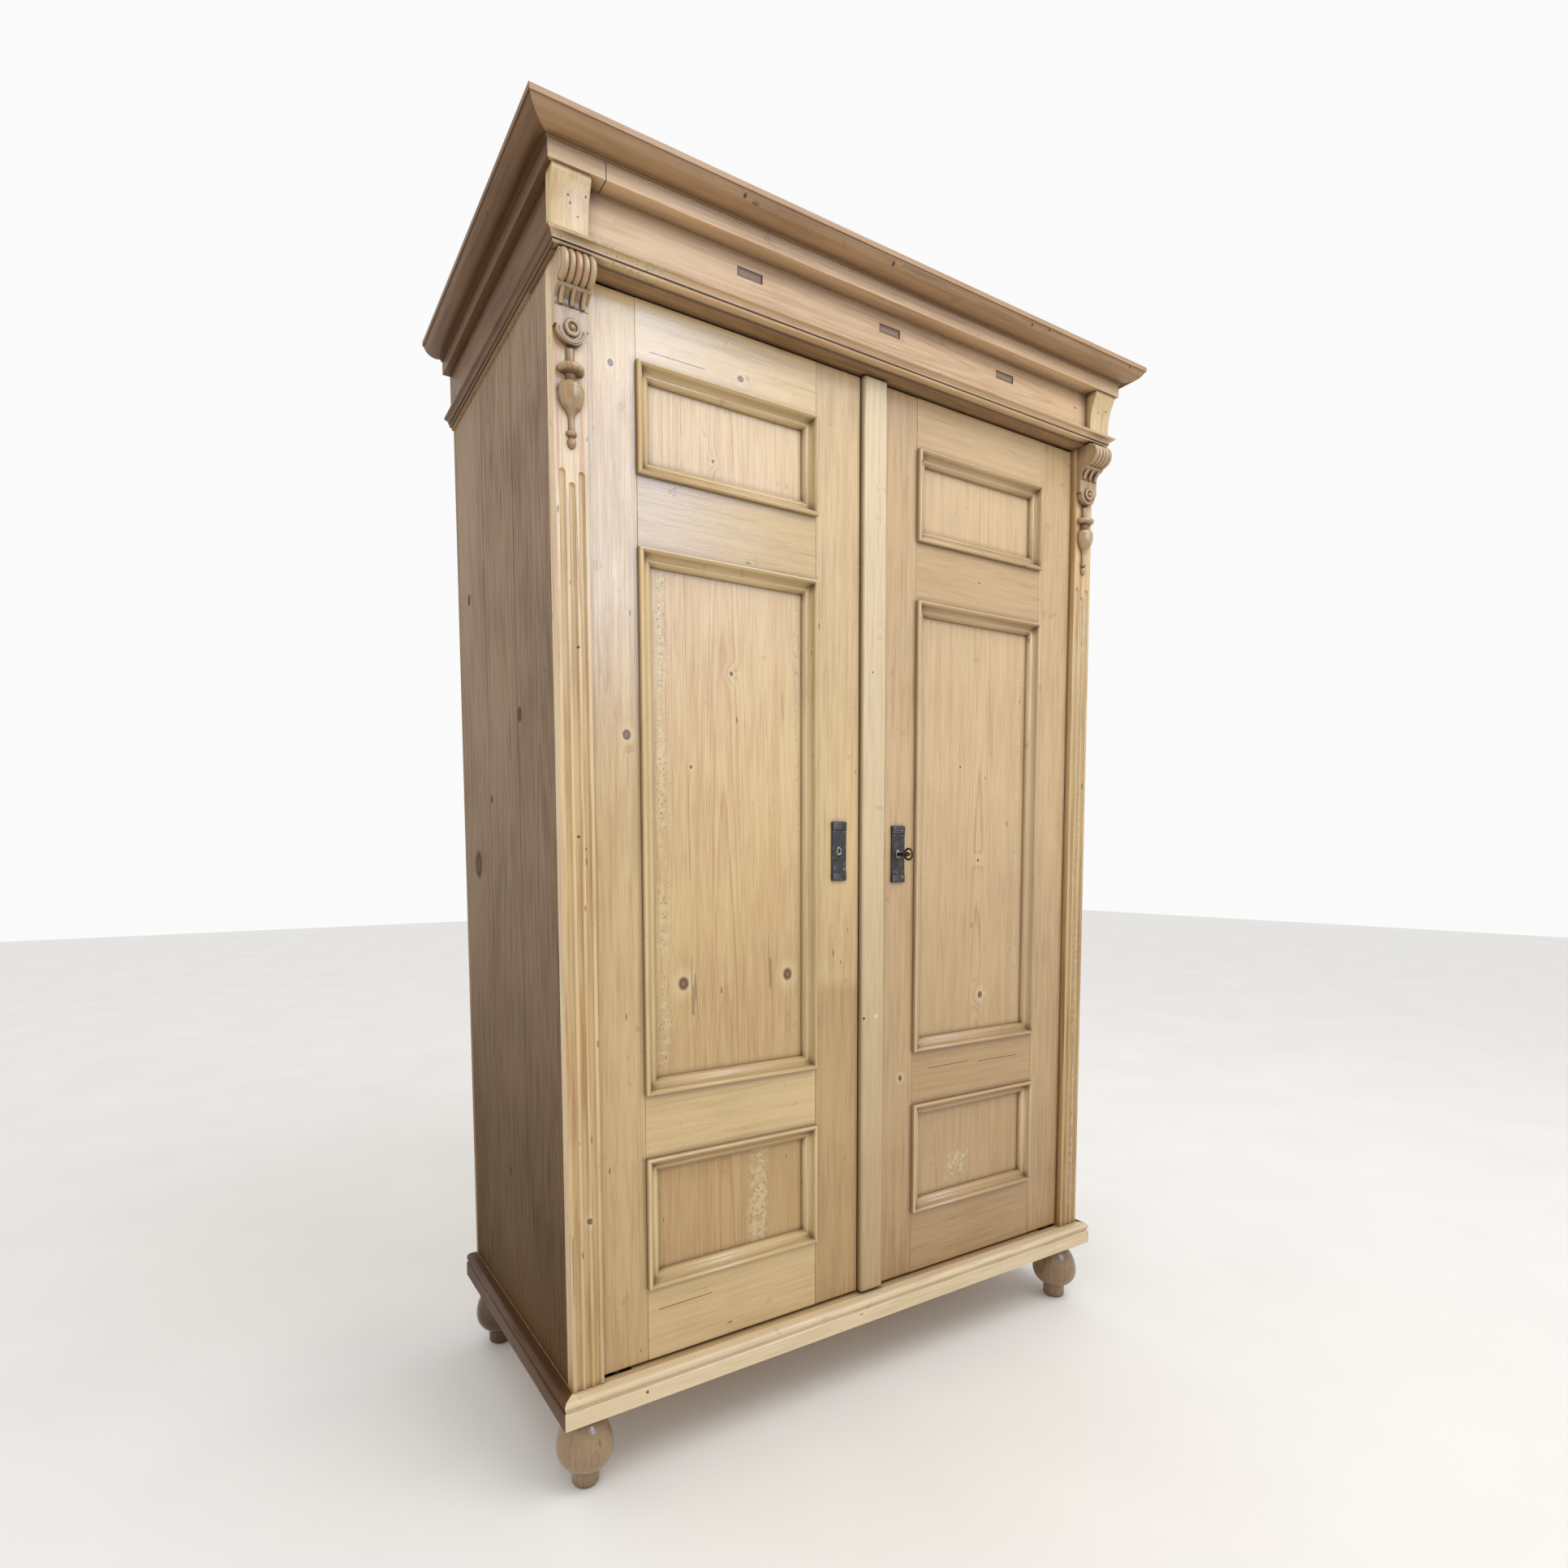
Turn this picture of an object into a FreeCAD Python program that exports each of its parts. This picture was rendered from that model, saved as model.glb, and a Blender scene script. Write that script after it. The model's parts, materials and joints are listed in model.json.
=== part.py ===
import FreeCAD, Part
import math
import os
import Sketcher

# A two-door wardrobe in waxed pine, of the kind that comes apart for moving.
# The crown with its moulded cornice lies on the carcase, the carcase stands on a moulded
# base, and the base stands on four turned feet.
# Millimetres. The origin is on the floor, at the middle of the whole width and depth.
# +X runs to the right seen from the front, +Y to the back and +Z up.

SIZES = [
    ("BodyWidth", 1172, "outside of the carcase, side to side"),
    ("BodyDepth", 547, "front of the pilasters to the back boards' outer face"),
    ("FootHeight", 125, "floor to the underside of the base"),
    ("FootBallRadius", 45, "turned ball of a foot"),
    ("FootSpigotRadius", 12, "round tenon on top of a foot"),
    ("FootSpigotLength", 20, "round tenon on top of a foot"),
    ("FootSpigotFit", 0.1, "radial clearance of that tenon"),
    ("FootInsetSide", 28, "foot axis inside the carcase side"),
    ("FootInsetFront", 30, "foot axis behind the pilaster face"),
    ("FootInsetBack", 56, "foot axis in front of the back"),
    ("PlinthHeight", 43.5, "moulded base board"),
    ("PlinthThickness", 20, "moulded base board"),
    ("PlinthOverFront", 18.5, "base board in front of the pilasters"),
    ("PlinthOverSide", 21.5, "base board outside the carcase"),
    ("FloorThickness", 18, "bottom boards"),
    ("BlockWidth", 80, "corner block over a foot"),
    ("BearerWidth", 40, "batten under the bottom boards"),
    ("BearerThickness", 22, "batten under the bottom boards"),
    ("BearerSpread", 200, "batten's middle from the centre line"),
    ("SideThickness", 20, "side planks"),
    ("BackThickness", 14, "back boards"),
    ("PilasterWidth", 50.5, "fluted front corner post"),
    ("PilasterThickness", 24, "fluted front corner post"),
    ("FluteRadius", 5.5, "round cutter of the flutes"),
    ("FluteDepth", 3.2, "flutes"),
    ("FlutePitch", 14.7, "flute to flute"),
    ("FluteDrop", 280, "top of the outer flutes below the soffit"),
    ("FluteStagger", 17, "middle flute's top below the outer ones"),
    ("DoorHeight", 1626, "door leaf"),
    ("DoorThickness", 24, "door leaf"),
    ("DoorGapBottom", 5.5, "door leaf above the base"),
    ("DoorGapTop", 3, "door leaf below the soffit"),
    ("DoorGapSide", 2.5, "door leaf beside the pilaster"),
    ("DoorGapMeeting", 2.5, "between the two leaves"),
    ("DoorSetback", 11, "door face behind the pilaster face"),
    ("LeftHingeStile", 79, "left leaf's outer stile"),
    ("RightHingeStile", 92, "right leaf's outer stile"),
    ("LeftMeetingStile", 95.5, "left leaf's inner stile"),
    ("RightMeetingStile", 131, "right leaf's inner stile, partly under the cover strip"),
    ("TopRail", 89, "rail above the upper panel"),
    ("UpperRail", 105, "rail between the upper and the tall panel"),
    ("LowerRail", 102, "rail between the tall and the lower panel"),
    ("BottomRail", 118, "rail under the lower panel"),
    ("UpperOpening", 162.5, "height of the upper panel's opening"),
    ("LowerOpening", 212, "height of the lower panel's opening"),
    ("PanelThickness", 9, "flat panels"),
    ("PanelSetback", 10, "panel face behind the door face"),
    ("GrooveDepth", 8, "groove that holds a panel"),
    ("PanelPlay", 0.8, "room for a panel to swell in its groove"),
    ("DoorMouldWidth", 24, "moulding round a panel"),
    ("DoorMouldProud", 9.5, "moulding in front of the door face"),
    ("StripWidth", 51, "cover strip on the right leaf"),
    ("StripLeft", 23, "strip's left edge left of the centre line"),
    ("StripThickness", 10, "cover strip on the right leaf"),
    ("StripEase", 4, "rounding of the strip's front edges"),
    ("SoffitThickness", 18, "boards over the carcase"),
    ("SoffitWidth", 99, "front soffit board"),
    ("FriezeOverFront", 15, "frieze in front of the pilasters"),
    ("FriezeOverSide", 4, "frieze outside the carcase"),
    ("FriezeThickness", 20, "frieze boards"),
    ("FriezeFace", 77.5, "visible height of the frieze"),
    ("RecessWidth", 45, "shallow carved mark in the frieze"),
    ("RecessHeight", 13, "shallow carved mark in the frieze"),
    ("RecessDepth", 1.5, "shallow carved mark in the frieze"),
    ("RecessPitch", 285, "mark to mark"),
    ("RecessShift", 17, "middle mark right of the centre line"),
    ("RecessDrop", 27, "mark's middle below the fascia"),
    ("AstragalLift", 4.5, "astragal above the soffit's underside"),
    ("AstragalHeight", 17.5, "astragal under the frieze"),
    ("AstragalOverFront", 39, "astragal in front of the pilasters"),
    ("AstragalOverSide", 18, "astragal outside the carcase"),
    ("AstragalReach", 12, "overhang of the astragal's profile"),
    ("FriezeBlockWidth", 57, "block on the frieze over a pilaster"),
    ("FriezeBlockOverSide", 11, "block outside the carcase"),
    ("FriezeBlockReach", 24, "block in front of the frieze, at its top"),
    ("FasciaHeight", 23.5, "flat band under the cornice"),
    ("FasciaOverFront", 43, "band in front of the pilasters"),
    ("FasciaOverSide", 18, "band outside the carcase"),
    ("FasciaJoint", 66, "butt joint in the band, from the carcase side"),
    ("CorniceHeight", 26.5, "cornice moulding"),
    ("CorniceReach", 36, "cornice in front of the band"),
    ("CrownBoardThickness", 18, "dust boards on the crown"),
    ("ConsoleHeight", 62, "scrolled head of the console"),
    ("ConsoleReach", 47, "scrolled head in front of the pilaster"),
    ("ReedDepth", 3, "reeds on the scroll"),
    ("ReedInset", 0.4, "reeds inside the console's sides and top"),
    ("TongueHeight", 51, "rounded tongue under the console"),
    ("TongueThickness", 10, "rounded tongue under the console"),
    ("TongueEar", 3, "step at each side of the tongue"),
    ("RosetteRadius", 12, "turned rosette on the tongue"),
    ("RosetteHeight", 6, "turned rosette on the tongue"),
    ("RosetteDrop", 27, "rosette's middle below the tongue's top"),
    ("PendantLength", 135, "split turning under the console"),
    ("PendantRadius", 19, "split turning under the console"),
    ("ShelfThickness", 18, "hat shelf"),
    ("ShelfDrop", 243, "shelf's top below the soffit"),
    ("ShelfFront", 84, "shelf's front edge behind the pilaster face"),
    ("CleatSize", 22, "batten that carries the shelf"),
    ("CleatInset", 10, "batten's front end behind the shelf's edge"),
    ("PoleRadius", 14, "hanging rail"),
    ("PoleDrop", 333, "rail's axis below the soffit"),
    ("PoleSetback", 309, "rail's axis behind the pilaster face"),
    ("CupRadius", 26, "wooden cup that holds the rail"),
    ("CupThickness", 20, "wooden cup that holds the rail"),
    ("CupWall", 6, "bottom of the cup"),
    ("CupFit", 0.2, "rail in its cup, radially and at the end"),
    ("StopSize", 18, "block that a closed door meets"),
    ("StopLength", 120, "block that a closed door meets"),
    ("StopPlace", 240, "block's middle from the centre line"),
    ("PivotInset", 25, "pivot from the leaf's outer edge"),
    ("PivotDepth", 10, "pivot behind the door face"),
    ("PivotRadius", 4, "pivot pin"),
    ("PivotFit", 0.05, "radial clearance of the pin in its plate"),
    ("PivotReach", 5, "pin beyond the socket plate"),
    ("PivotCollar", 8, "radius of the bottom pin's shoulder"),
    ("PlateLength", 50, "iron pivot and socket plates"),
    ("PlateWidth", 18, "iron pivot and socket plates"),
    ("PlateThickness", 3, "iron pivot and socket plates"),
    ("PinHoleSlack", 1, "wood round the end of a pivot pin"),
    ("RunningGap", 0.3, "between pieces that pass each other"),
    ("EscutcheonWidth", 31, "key plate"),
    ("EscutcheonHeight", 103, "key plate"),
    ("EscutcheonThickness", 2.5, "key plate"),
    ("EscutcheonBand", 14, "raised band at each end of a key plate"),
    ("EscutcheonRelief", 1, "raised band at each end of a key plate"),
    ("KeyHeight", 981, "key axis above the floor"),
    ("LeftPlateRise", 6, "left key plate above the right one"),
    ("KeyX", 67, "key axis right of the centre line"),
    ("LeftPlateX", 71, "left key plate's middle left of the centre line"),
    ("KeyShankRadius", 3, "key"),
    ("KeyFit", 0.08, "radial clearance of the key's shank"),
    ("KeyShankOut", 17, "shank in front of the key plate"),
    ("KeyBowRadius", 10, "ring of the key's bow, at its middle"),
    ("KeyBowWire", 2, "half the thickness of the bow"),
    ("KeyCollarRadius", 4.5, "collar on the shank"),
    ("KeyCollarLength", 4, "collar on the shank"),
    ("BitReach", 8.5, "key bit from the key axis"),
    ("BitThickness", 2.4, "key bit"),
    ("BitLength", 5.4, "key bit along the shank"),
    ("SlotWidth", 3, "slot of a keyhole"),
    ("SlotLength", 10, "slot of a keyhole, from its centre"),
    ("KeyBoreRadius", 5, "bore through the stile for the key"),
    ("CaseLength", 110, "rim lock"),
    ("CaseHeight", 76, "rim lock"),
    ("CaseDepth", 16, "rim lock"),
    ("CaseWall", 1.5, "rim lock"),
    ("CaseInset", 2, "rim lock from the leaf's edge"),
    ("BoltLength", 102, "lock bolt"),
    ("BoltHeight", 12, "lock bolt"),
    ("BoltThickness", 6, "lock bolt"),
    ("BoltLift", 5, "lock bolt's lower edge above the key axis"),
    ("BoltSetback", 4, "lock bolt behind the door's inner face"),
    ("BoltThrow", 12, "lock bolt's travel"),
    ("TalonWidth", 6.4, "notch that the key bit moves in"),
    ("KeeperLength", 32, "box keeper on the left leaf"),
    ("KeeperWall", 4, "box keeper on the left leaf"),
    ("KeeperGap", 2, "keeper from the leaf's edge"),
    ("SlideWidth", 12, "slide bolt bar"),
    ("SlideThickness", 5, "slide bolt bar"),
    ("SlideLength", 120, "slide bolt bar"),
    ("SlideThrow", 14, "slide bolt's travel"),
    ("SlideX", 50, "slide bolt's middle left of the centre line"),
    ("SlideInset", 2, "slide bolt's end inside the leaf's edge"),
    ("SlideKnobRadius", 5, "knob of a slide bolt"),
    ("SlideKnobLength", 9, "knob of a slide bolt"),
    ("GuideWidth", 28, "back plate of a slide bolt"),
    ("GuideLength", 84, "back plate of a slide bolt"),
    ("GuideThickness", 2, "back plate of a slide bolt"),
    ("GuideInset", 8, "back plate's end inside the leaf's edge"),
    ("StapleLength", 12, "staple over a slide bolt"),
    ("StapleWall", 2, "staple over a slide bolt"),
    ("SlotSlack", 1.5, "room round a slide bolt in its slot"),
    ("CutOverrun", 5, "how far a cutter runs past the wood"),
]

SIDE_PLANKS = 3
BACK_BOARDS = 7
FLOOR_BOARDS = 4
CROWN_BOARDS = 3
REEDS = 5
FRIEZE_MARKS = 3

# Outlines as shares of their own width and height. A third share makes the edge that ends
# there an arc, whose radius is that share of its chord: positive for a round edge and
# negative for a hollow one.
HALF_ROUND_SHARE = 0.505
QUARTER_ROUND_SHARE = 0.72
FOOT_SHARES = [
    (0.60, 1.0), (0.60, 0.96), (0.47, 0.93), (0.47, 0.9),
    (1.0, 0.48, 1.187), (0.555, 0.225, 0.944), (0.48, 0.225), (0.48, 0.06),
    (0.38, 0.0, QUARTER_ROUND_SHARE), (0.0, 0.0),
]
PLINTH_SHARES = [
    (0.0, 0.0), (0.0, 0.5), (0.14, 0.63, QUARTER_ROUND_SHARE), (0.14, 0.68), (0.4, 1.0, 0.56),
]
ASTRAGAL_SHARES = [
    (1.0, 0.0), (1.0, 0.29, HALF_ROUND_SHARE), (0.7, 0.29),
    (0.25, 0.68, -QUARTER_ROUND_SHARE), (0.23, 1.0, HALF_ROUND_SHARE),
]
CORNICE_SHARES = [
    (0.92, 0.0), (0.92, 0.12), (0.85, 0.12), (0.06, 0.7, QUARTER_ROUND_SHARE), (0.0, 0.7), (0.0, 1.0),
]
FRIEZE_BLOCK_SHARES = [
    (0.5, 0.0), (0.5, 0.08), (1.0, 0.9, -1.8), (1.0, 1.0),
]
DOOR_MOULD_SHARES = [
    (0.0, 0.79), (0.33, 0.79, HALF_ROUND_SHARE), (0.62, 0.42, -QUARTER_ROUND_SHARE),
    (0.73, 0.42), (1.0, 0.1, QUARTER_ROUND_SHARE), (1.0, 0.0),
]
CONSOLE_SHARES = [
    (0.23, 1.0), (0.42, 0.72, -QUARTER_ROUND_SHARE), (0.46, 0.71),
    (0.46, 0.58, HALF_ROUND_SHARE), (0.57, 0.56), (0.57, 0.06, HALF_ROUND_SHARE),
    (0.64, 0.06), (0.64, 0.0),
]
REED_CENTRE_SHARE = 0.57
REED_SHARE = 0.56
ROSETTE_SHARES = [
    (0.36, 0.35, QUARTER_ROUND_SHARE), (0.5, 0.3), (1.0, 0.35, HALF_ROUND_SHARE), (1.0, 0.0),
]
PENDANT_SHARES = [
    (0.34, 1.0), (0.34, 0.84), (0.82, 0.83), (0.82, 0.75, HALF_ROUND_SHARE), (0.44, 0.74),
    (0.5, 0.67, -1.0), (1.0, 0.57, QUARTER_ROUND_SHARE), (0.66, 0.4, 1.3),
    (0.24, 0.28, -1.1), (0.24, 0.185), (0.24, 0.125, HALF_ROUND_SHARE), (0.18, 0.115),
    (0.0, 0.0, 0.56),
]


class Length:
    """A length with its number and the words of the expression that gives it."""

    def __init__(self, number, words):
        self.number = number
        self.words = words

    def __add__(self, other):
        return Length(self.number + number_of(other), f"({self.words} + {words_of(other)})")

    def __radd__(self, other):
        return Length(number_of(other) + self.number, f"({words_of(other)} + {self.words})")

    def __sub__(self, other):
        return Length(self.number - number_of(other), f"({self.words} - {words_of(other)})")

    def __rsub__(self, other):
        return Length(number_of(other) - self.number, f"({words_of(other)} - {self.words})")

    def __mul__(self, factor):
        return Length(self.number * factor, f"({self.words} * {factor!r})")

    __rmul__ = __mul__

    def __truediv__(self, divisor):
        return Length(self.number / divisor, f"({self.words} / {divisor!r})")

    def __neg__(self):
        return Length(-self.number, f"(0 - {self.words})")


def number_of(length):
    return length.number if isinstance(length, Length) else length


def words_of(length):
    return length.words if isinstance(length, Length) else repr(length)


def distance(first, second):
    """The straight distance between two corners of an outline."""
    across = second[0] - first[0]
    along = second[1] - first[1]
    number = math.hypot(number_of(across), number_of(along))
    return Length(number, f"sqrt({words_of(across)} ^ 2 + {words_of(along)} ^ 2)")


doc = FreeCAD.newDocument("Wardrobe")
sheet = doc.addObject("Spreadsheet::Sheet", "Dims")
for row, (alias, value, meaning) in enumerate(SIZES, start=1):
    sheet.set(f"A{row}", meaning)
    sheet.set(f"B{row}", str(value))
    sheet.setAlias(f"B{row}", alias)
doc.recompute()


class Sizes:
    """The sheet's cells as lengths, by their aliases."""


dims = Sizes()
for alias, value, meaning in SIZES:
    setattr(dims, alias, Length(float(sheet.get(alias)), f"Dims.{alias}"))

nodes = []


# Helpers

def bind(thing, path, length):
    """Ties one property of an object to the sheet."""
    if isinstance(length, Length):
        thing.setExpression(path, length.words)


def place(thing, corner, turn=FreeCAD.Rotation()):
    """Puts an object at a corner given in lengths."""
    base = FreeCAD.Vector(*[number_of(length) for length in corner])
    thing.Placement = FreeCAD.Placement(base, turn)
    for axis, length in zip("xyz", corner):
        bind(thing, f"Placement.Base.{axis}", length)
    return thing


def box(name, low, high):
    """A board from its lowest to its highest corner."""
    board = doc.addObject("Part::Box", name)
    for path, start, end in zip(("Length", "Width", "Height"), low, high):
        bind(board, path, end - start)
    return place(board, low)


ALONG_Z = FreeCAD.Rotation()
ALONG_X = FreeCAD.Rotation(FreeCAD.Vector(0, 1, 0), 90)
ALONG_Y = FreeCAD.Rotation(FreeCAD.Vector(1, 0, 0), -90)
TOWARDS_FRONT = FreeCAD.Rotation(FreeCAD.Vector(1, 0, 0), 90)
HALF_TURN = FreeCAD.Rotation(FreeCAD.Vector(0, 0, 1), 180)
TO_THE_FRONT = FreeCAD.Rotation(FreeCAD.Vector(0, 0, 1), -90)
TO_THE_BACK = FreeCAD.Rotation(FreeCAD.Vector(0, 0, 1), 90)


def cylinder(name, radius, length, base, turn=ALONG_Z):
    rod = doc.addObject("Part::Cylinder", name)
    bind(rod, "Radius", radius)
    bind(rod, "Height", length)
    return place(rod, base, turn)


def torus(name, ring_radius, wire_radius, centre, turn):
    ring = doc.addObject("Part::Torus", name)
    bind(ring, "Radius1", ring_radius)
    bind(ring, "Radius2", wire_radius)
    return place(ring, centre, turn)


def fuse(name, pieces):
    union = doc.addObject("Part::MultiFuse", name)
    union.Shapes = pieces
    return union


def cut(name, base, tools):
    """Takes the tools, which may be many, out of the base."""
    result = doc.addObject("Part::Cut", name)
    result.Base = base
    result.Tool = tools[0] if len(tools) == 1 else fuse(f"{name}_tools", tools)
    return result


def group(name, pieces):
    """Separate solids that share a node."""
    compound = doc.addObject("Part::Compound", name)
    compound.Links = pieces
    return compound


def node(name, thing):
    """Names a finished sub-part."""
    thing.Label = name
    nodes.append(thing)
    return thing


def origin_plane(body, role):
    return next(plane for plane in body.Origin.OriginFeatures if plane.Role == role)


def edge(start, end, share):
    """A line, or an arc whose radius is the given share of its chord."""
    if not share:
        return Part.LineSegment(start, end)
    chord = end - start
    radius = abs(share) * chord.Length
    rise = radius - math.sqrt(radius ** 2 - chord.Length ** 2 / 4)
    left = FreeCAD.Vector(-chord.y, chord.x, 0).normalize()
    middle = (start + end) / 2 + left * math.copysign(rise, share)
    return Part.Arc(start, middle, end)


def pin_down(sketch, geometry, point, axis, length):
    """Holds one coordinate of a sketch's point at a length."""
    number = number_of(length)
    if number == 0:
        along = -2 if axis == "X" else -1
        sketch.addConstraint(Sketcher.Constraint("PointOnObject", geometry, point, along))
        return
    ends = (-1, 1, geometry, point) if number > 0 else (geometry, point, -1, 1)
    held = Sketcher.Constraint(f"Distance{axis}", *ends, abs(number))
    index = sketch.addConstraint(held)
    bind(sketch, f"Constraints[{index}]", length if number > 0 else -length)


def outline(body, role, corners):
    """Draws a closed outline on one of the body's own planes."""
    sketch = body.newObject("Sketcher::SketchObject", f"{body.Name}_outline")
    sketch.AttachmentSupport = [(origin_plane(body, role), "")]
    sketch.MapMode = "FlatFace"
    spots = [FreeCAD.Vector(number_of(x), number_of(y), 0) for x, y, *_ in corners]
    starts = []
    ends = []
    for index, (x, y, *share) in enumerate(corners):
        piece = edge(spots[index - 1], spots[index], share[0] if share else 0)
        geometry = sketch.addGeometry(piece)
        first = sketch.getPoint(geometry, 1).distanceToPoint(spots[index])
        second = sketch.getPoint(geometry, 2).distanceToPoint(spots[index])
        starts.append((geometry, 1 if second < first else 2))
        ends.append((geometry, 2 if second < first else 1))
    for index, (x, y, *share) in enumerate(corners):
        following = starts[(index + 1) % len(corners)]
        sketch.addConstraint(Sketcher.Constraint("Coincident", *ends[index], *following))
        pin_down(sketch, *ends[index], "X", x)
        pin_down(sketch, *ends[index], "Y", y)
        if share:
            radius = distance(corners[index - 1], corners[index]) * abs(share[0])
            held = Sketcher.Constraint("Radius", ends[index][0], radius.number)
            bind(sketch, f"Constraints[{sketch.addConstraint(held)}]", radius)
    return sketch


def scaled(shares, width, height):
    """An outline given in shares, in lengths."""
    return [(width * x, height * y, *share) for x, y, *share in shares]


def new_body(name):
    return doc.addObject("PartDesign::Body", name)


def pad(body, role, corners, length):
    """Extrudes an outline along its plane's normal."""
    feature = body.newObject("PartDesign::Pad", f"{body.Name}_pad")
    feature.Profile = outline(body, role, corners)
    bind(feature, "Length", length)
    body.Tip = feature
    return feature


def turned(name, corners, angle=360):
    """Turns an outline about the body's Z axis."""
    body = new_body(name)
    sketch = outline(body, "XZ_Plane", corners)
    feature = body.newObject("PartDesign::Revolution", f"{name}_turning")
    feature.Profile = sketch
    feature.ReferenceAxis = (sketch, ["V_Axis"])
    feature.Angle = angle
    body.Tip = feature
    return body


def mitre(body, corners):
    """Saws off the triangle seen from above, right through."""
    feature = body.newObject("PartDesign::Pocket", f"{body.Name}_mitre")
    feature.Profile = outline(body, "XY_Plane", corners)
    feature.Type = "ThroughAll"
    feature.SideType = "Symmetric"
    body.Tip = feature


def stick(name, section, length, depth, mitres, corner=None):
    """A moulding along X whose long edge is at Y zero, mitred at the ends that are named.

    Where the moulding is deeper than the one it meets, the mitre runs as deep as the corner
    says and the end is square from there.
    """
    body = new_body(name)
    pad(body, "YZ_Plane", section, length)
    over = dims.CutOverrun
    corner = corner or depth
    behind = depth + over
    if "start" in mitres:
        mitre(body, [(-over, -over), (corner, corner), (corner, behind), (-over, behind)])
    if "end" in mitres:
        inner = length - corner
        far = length + over
        mitre(body, [(far, -over), (far, behind), (inner, behind), (inner, corner)])
    return body


def boards(name, low, high, count, axis):
    """Boards side by side that fill a space along one axis."""
    step = (high[axis] - low[axis]) / count
    pieces = []
    for number in range(count):
        near = list(low)
        near[axis] = low[axis] + step * number
        far = list(high)
        far[axis] = low[axis] + step * (number + 1)
        pieces.append(box(f"{name}_{number + 1}", near, far))
    return pieces


# Places that many pieces share

half_width = dims.BodyWidth / 2
overall_depth = dims.BodyDepth + dims.FasciaOverFront + dims.CorniceReach
back = overall_depth / 2
front = back - dims.BodyDepth
plinth_bottom = dims.FootHeight
plinth_top = plinth_bottom + dims.PlinthHeight
floor_bottom = plinth_top - dims.FloorThickness
door_bottom = plinth_top + dims.DoorGapBottom
door_top = door_bottom + dims.DoorHeight
soffit = door_top + dims.DoorGapTop
ceiling_top = soffit + dims.SoffitThickness
astragal_bottom = soffit + dims.AstragalLift
frieze_bottom = astragal_bottom + dims.AstragalHeight
fascia_bottom = frieze_bottom + dims.FriezeFace
cornice_bottom = fascia_bottom + dims.FasciaHeight
crown_top = cornice_bottom + dims.CorniceHeight
crown_board_bottom = crown_top - dims.CrownBoardThickness
door_face = front + dims.DoorSetback
door_back = door_face + dims.DoorThickness
back_inside = back - dims.BackThickness
side_inside = half_width - dims.SideThickness
plinth_inside = half_width + dims.PlinthOverSide - dims.PlinthThickness
plinth_front_inside = front - dims.PlinthOverFront + dims.PlinthThickness
plinth_back_inside = back - dims.PlinthThickness
frieze_side = half_width + dims.FriezeOverSide
frieze_front = front - dims.FriezeOverFront
pilaster_inside = half_width - dims.PilasterWidth
pivot_x = pilaster_inside - dims.DoorGapSide - dims.PivotInset
pivot_y = door_face + dims.PivotDepth
slide_front = door_back + dims.GuideThickness + dims.RunningGap
slide_back = slide_front + dims.SlideThickness
strip_left = -dims.StripLeft
over = dims.CutOverrun


# Base

def foot(name, x, y):
    spigot = [(0, dims.FootHeight + dims.FootSpigotLength),
              (dims.FootSpigotRadius, dims.FootHeight + dims.FootSpigotLength),
              (dims.FootSpigotRadius, dims.FootHeight)]
    body = turned(name, spigot + scaled(FOOT_SHARES, dims.FootBallRadius, dims.FootHeight))
    node(name, place(body, (x, y, 0)))


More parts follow.
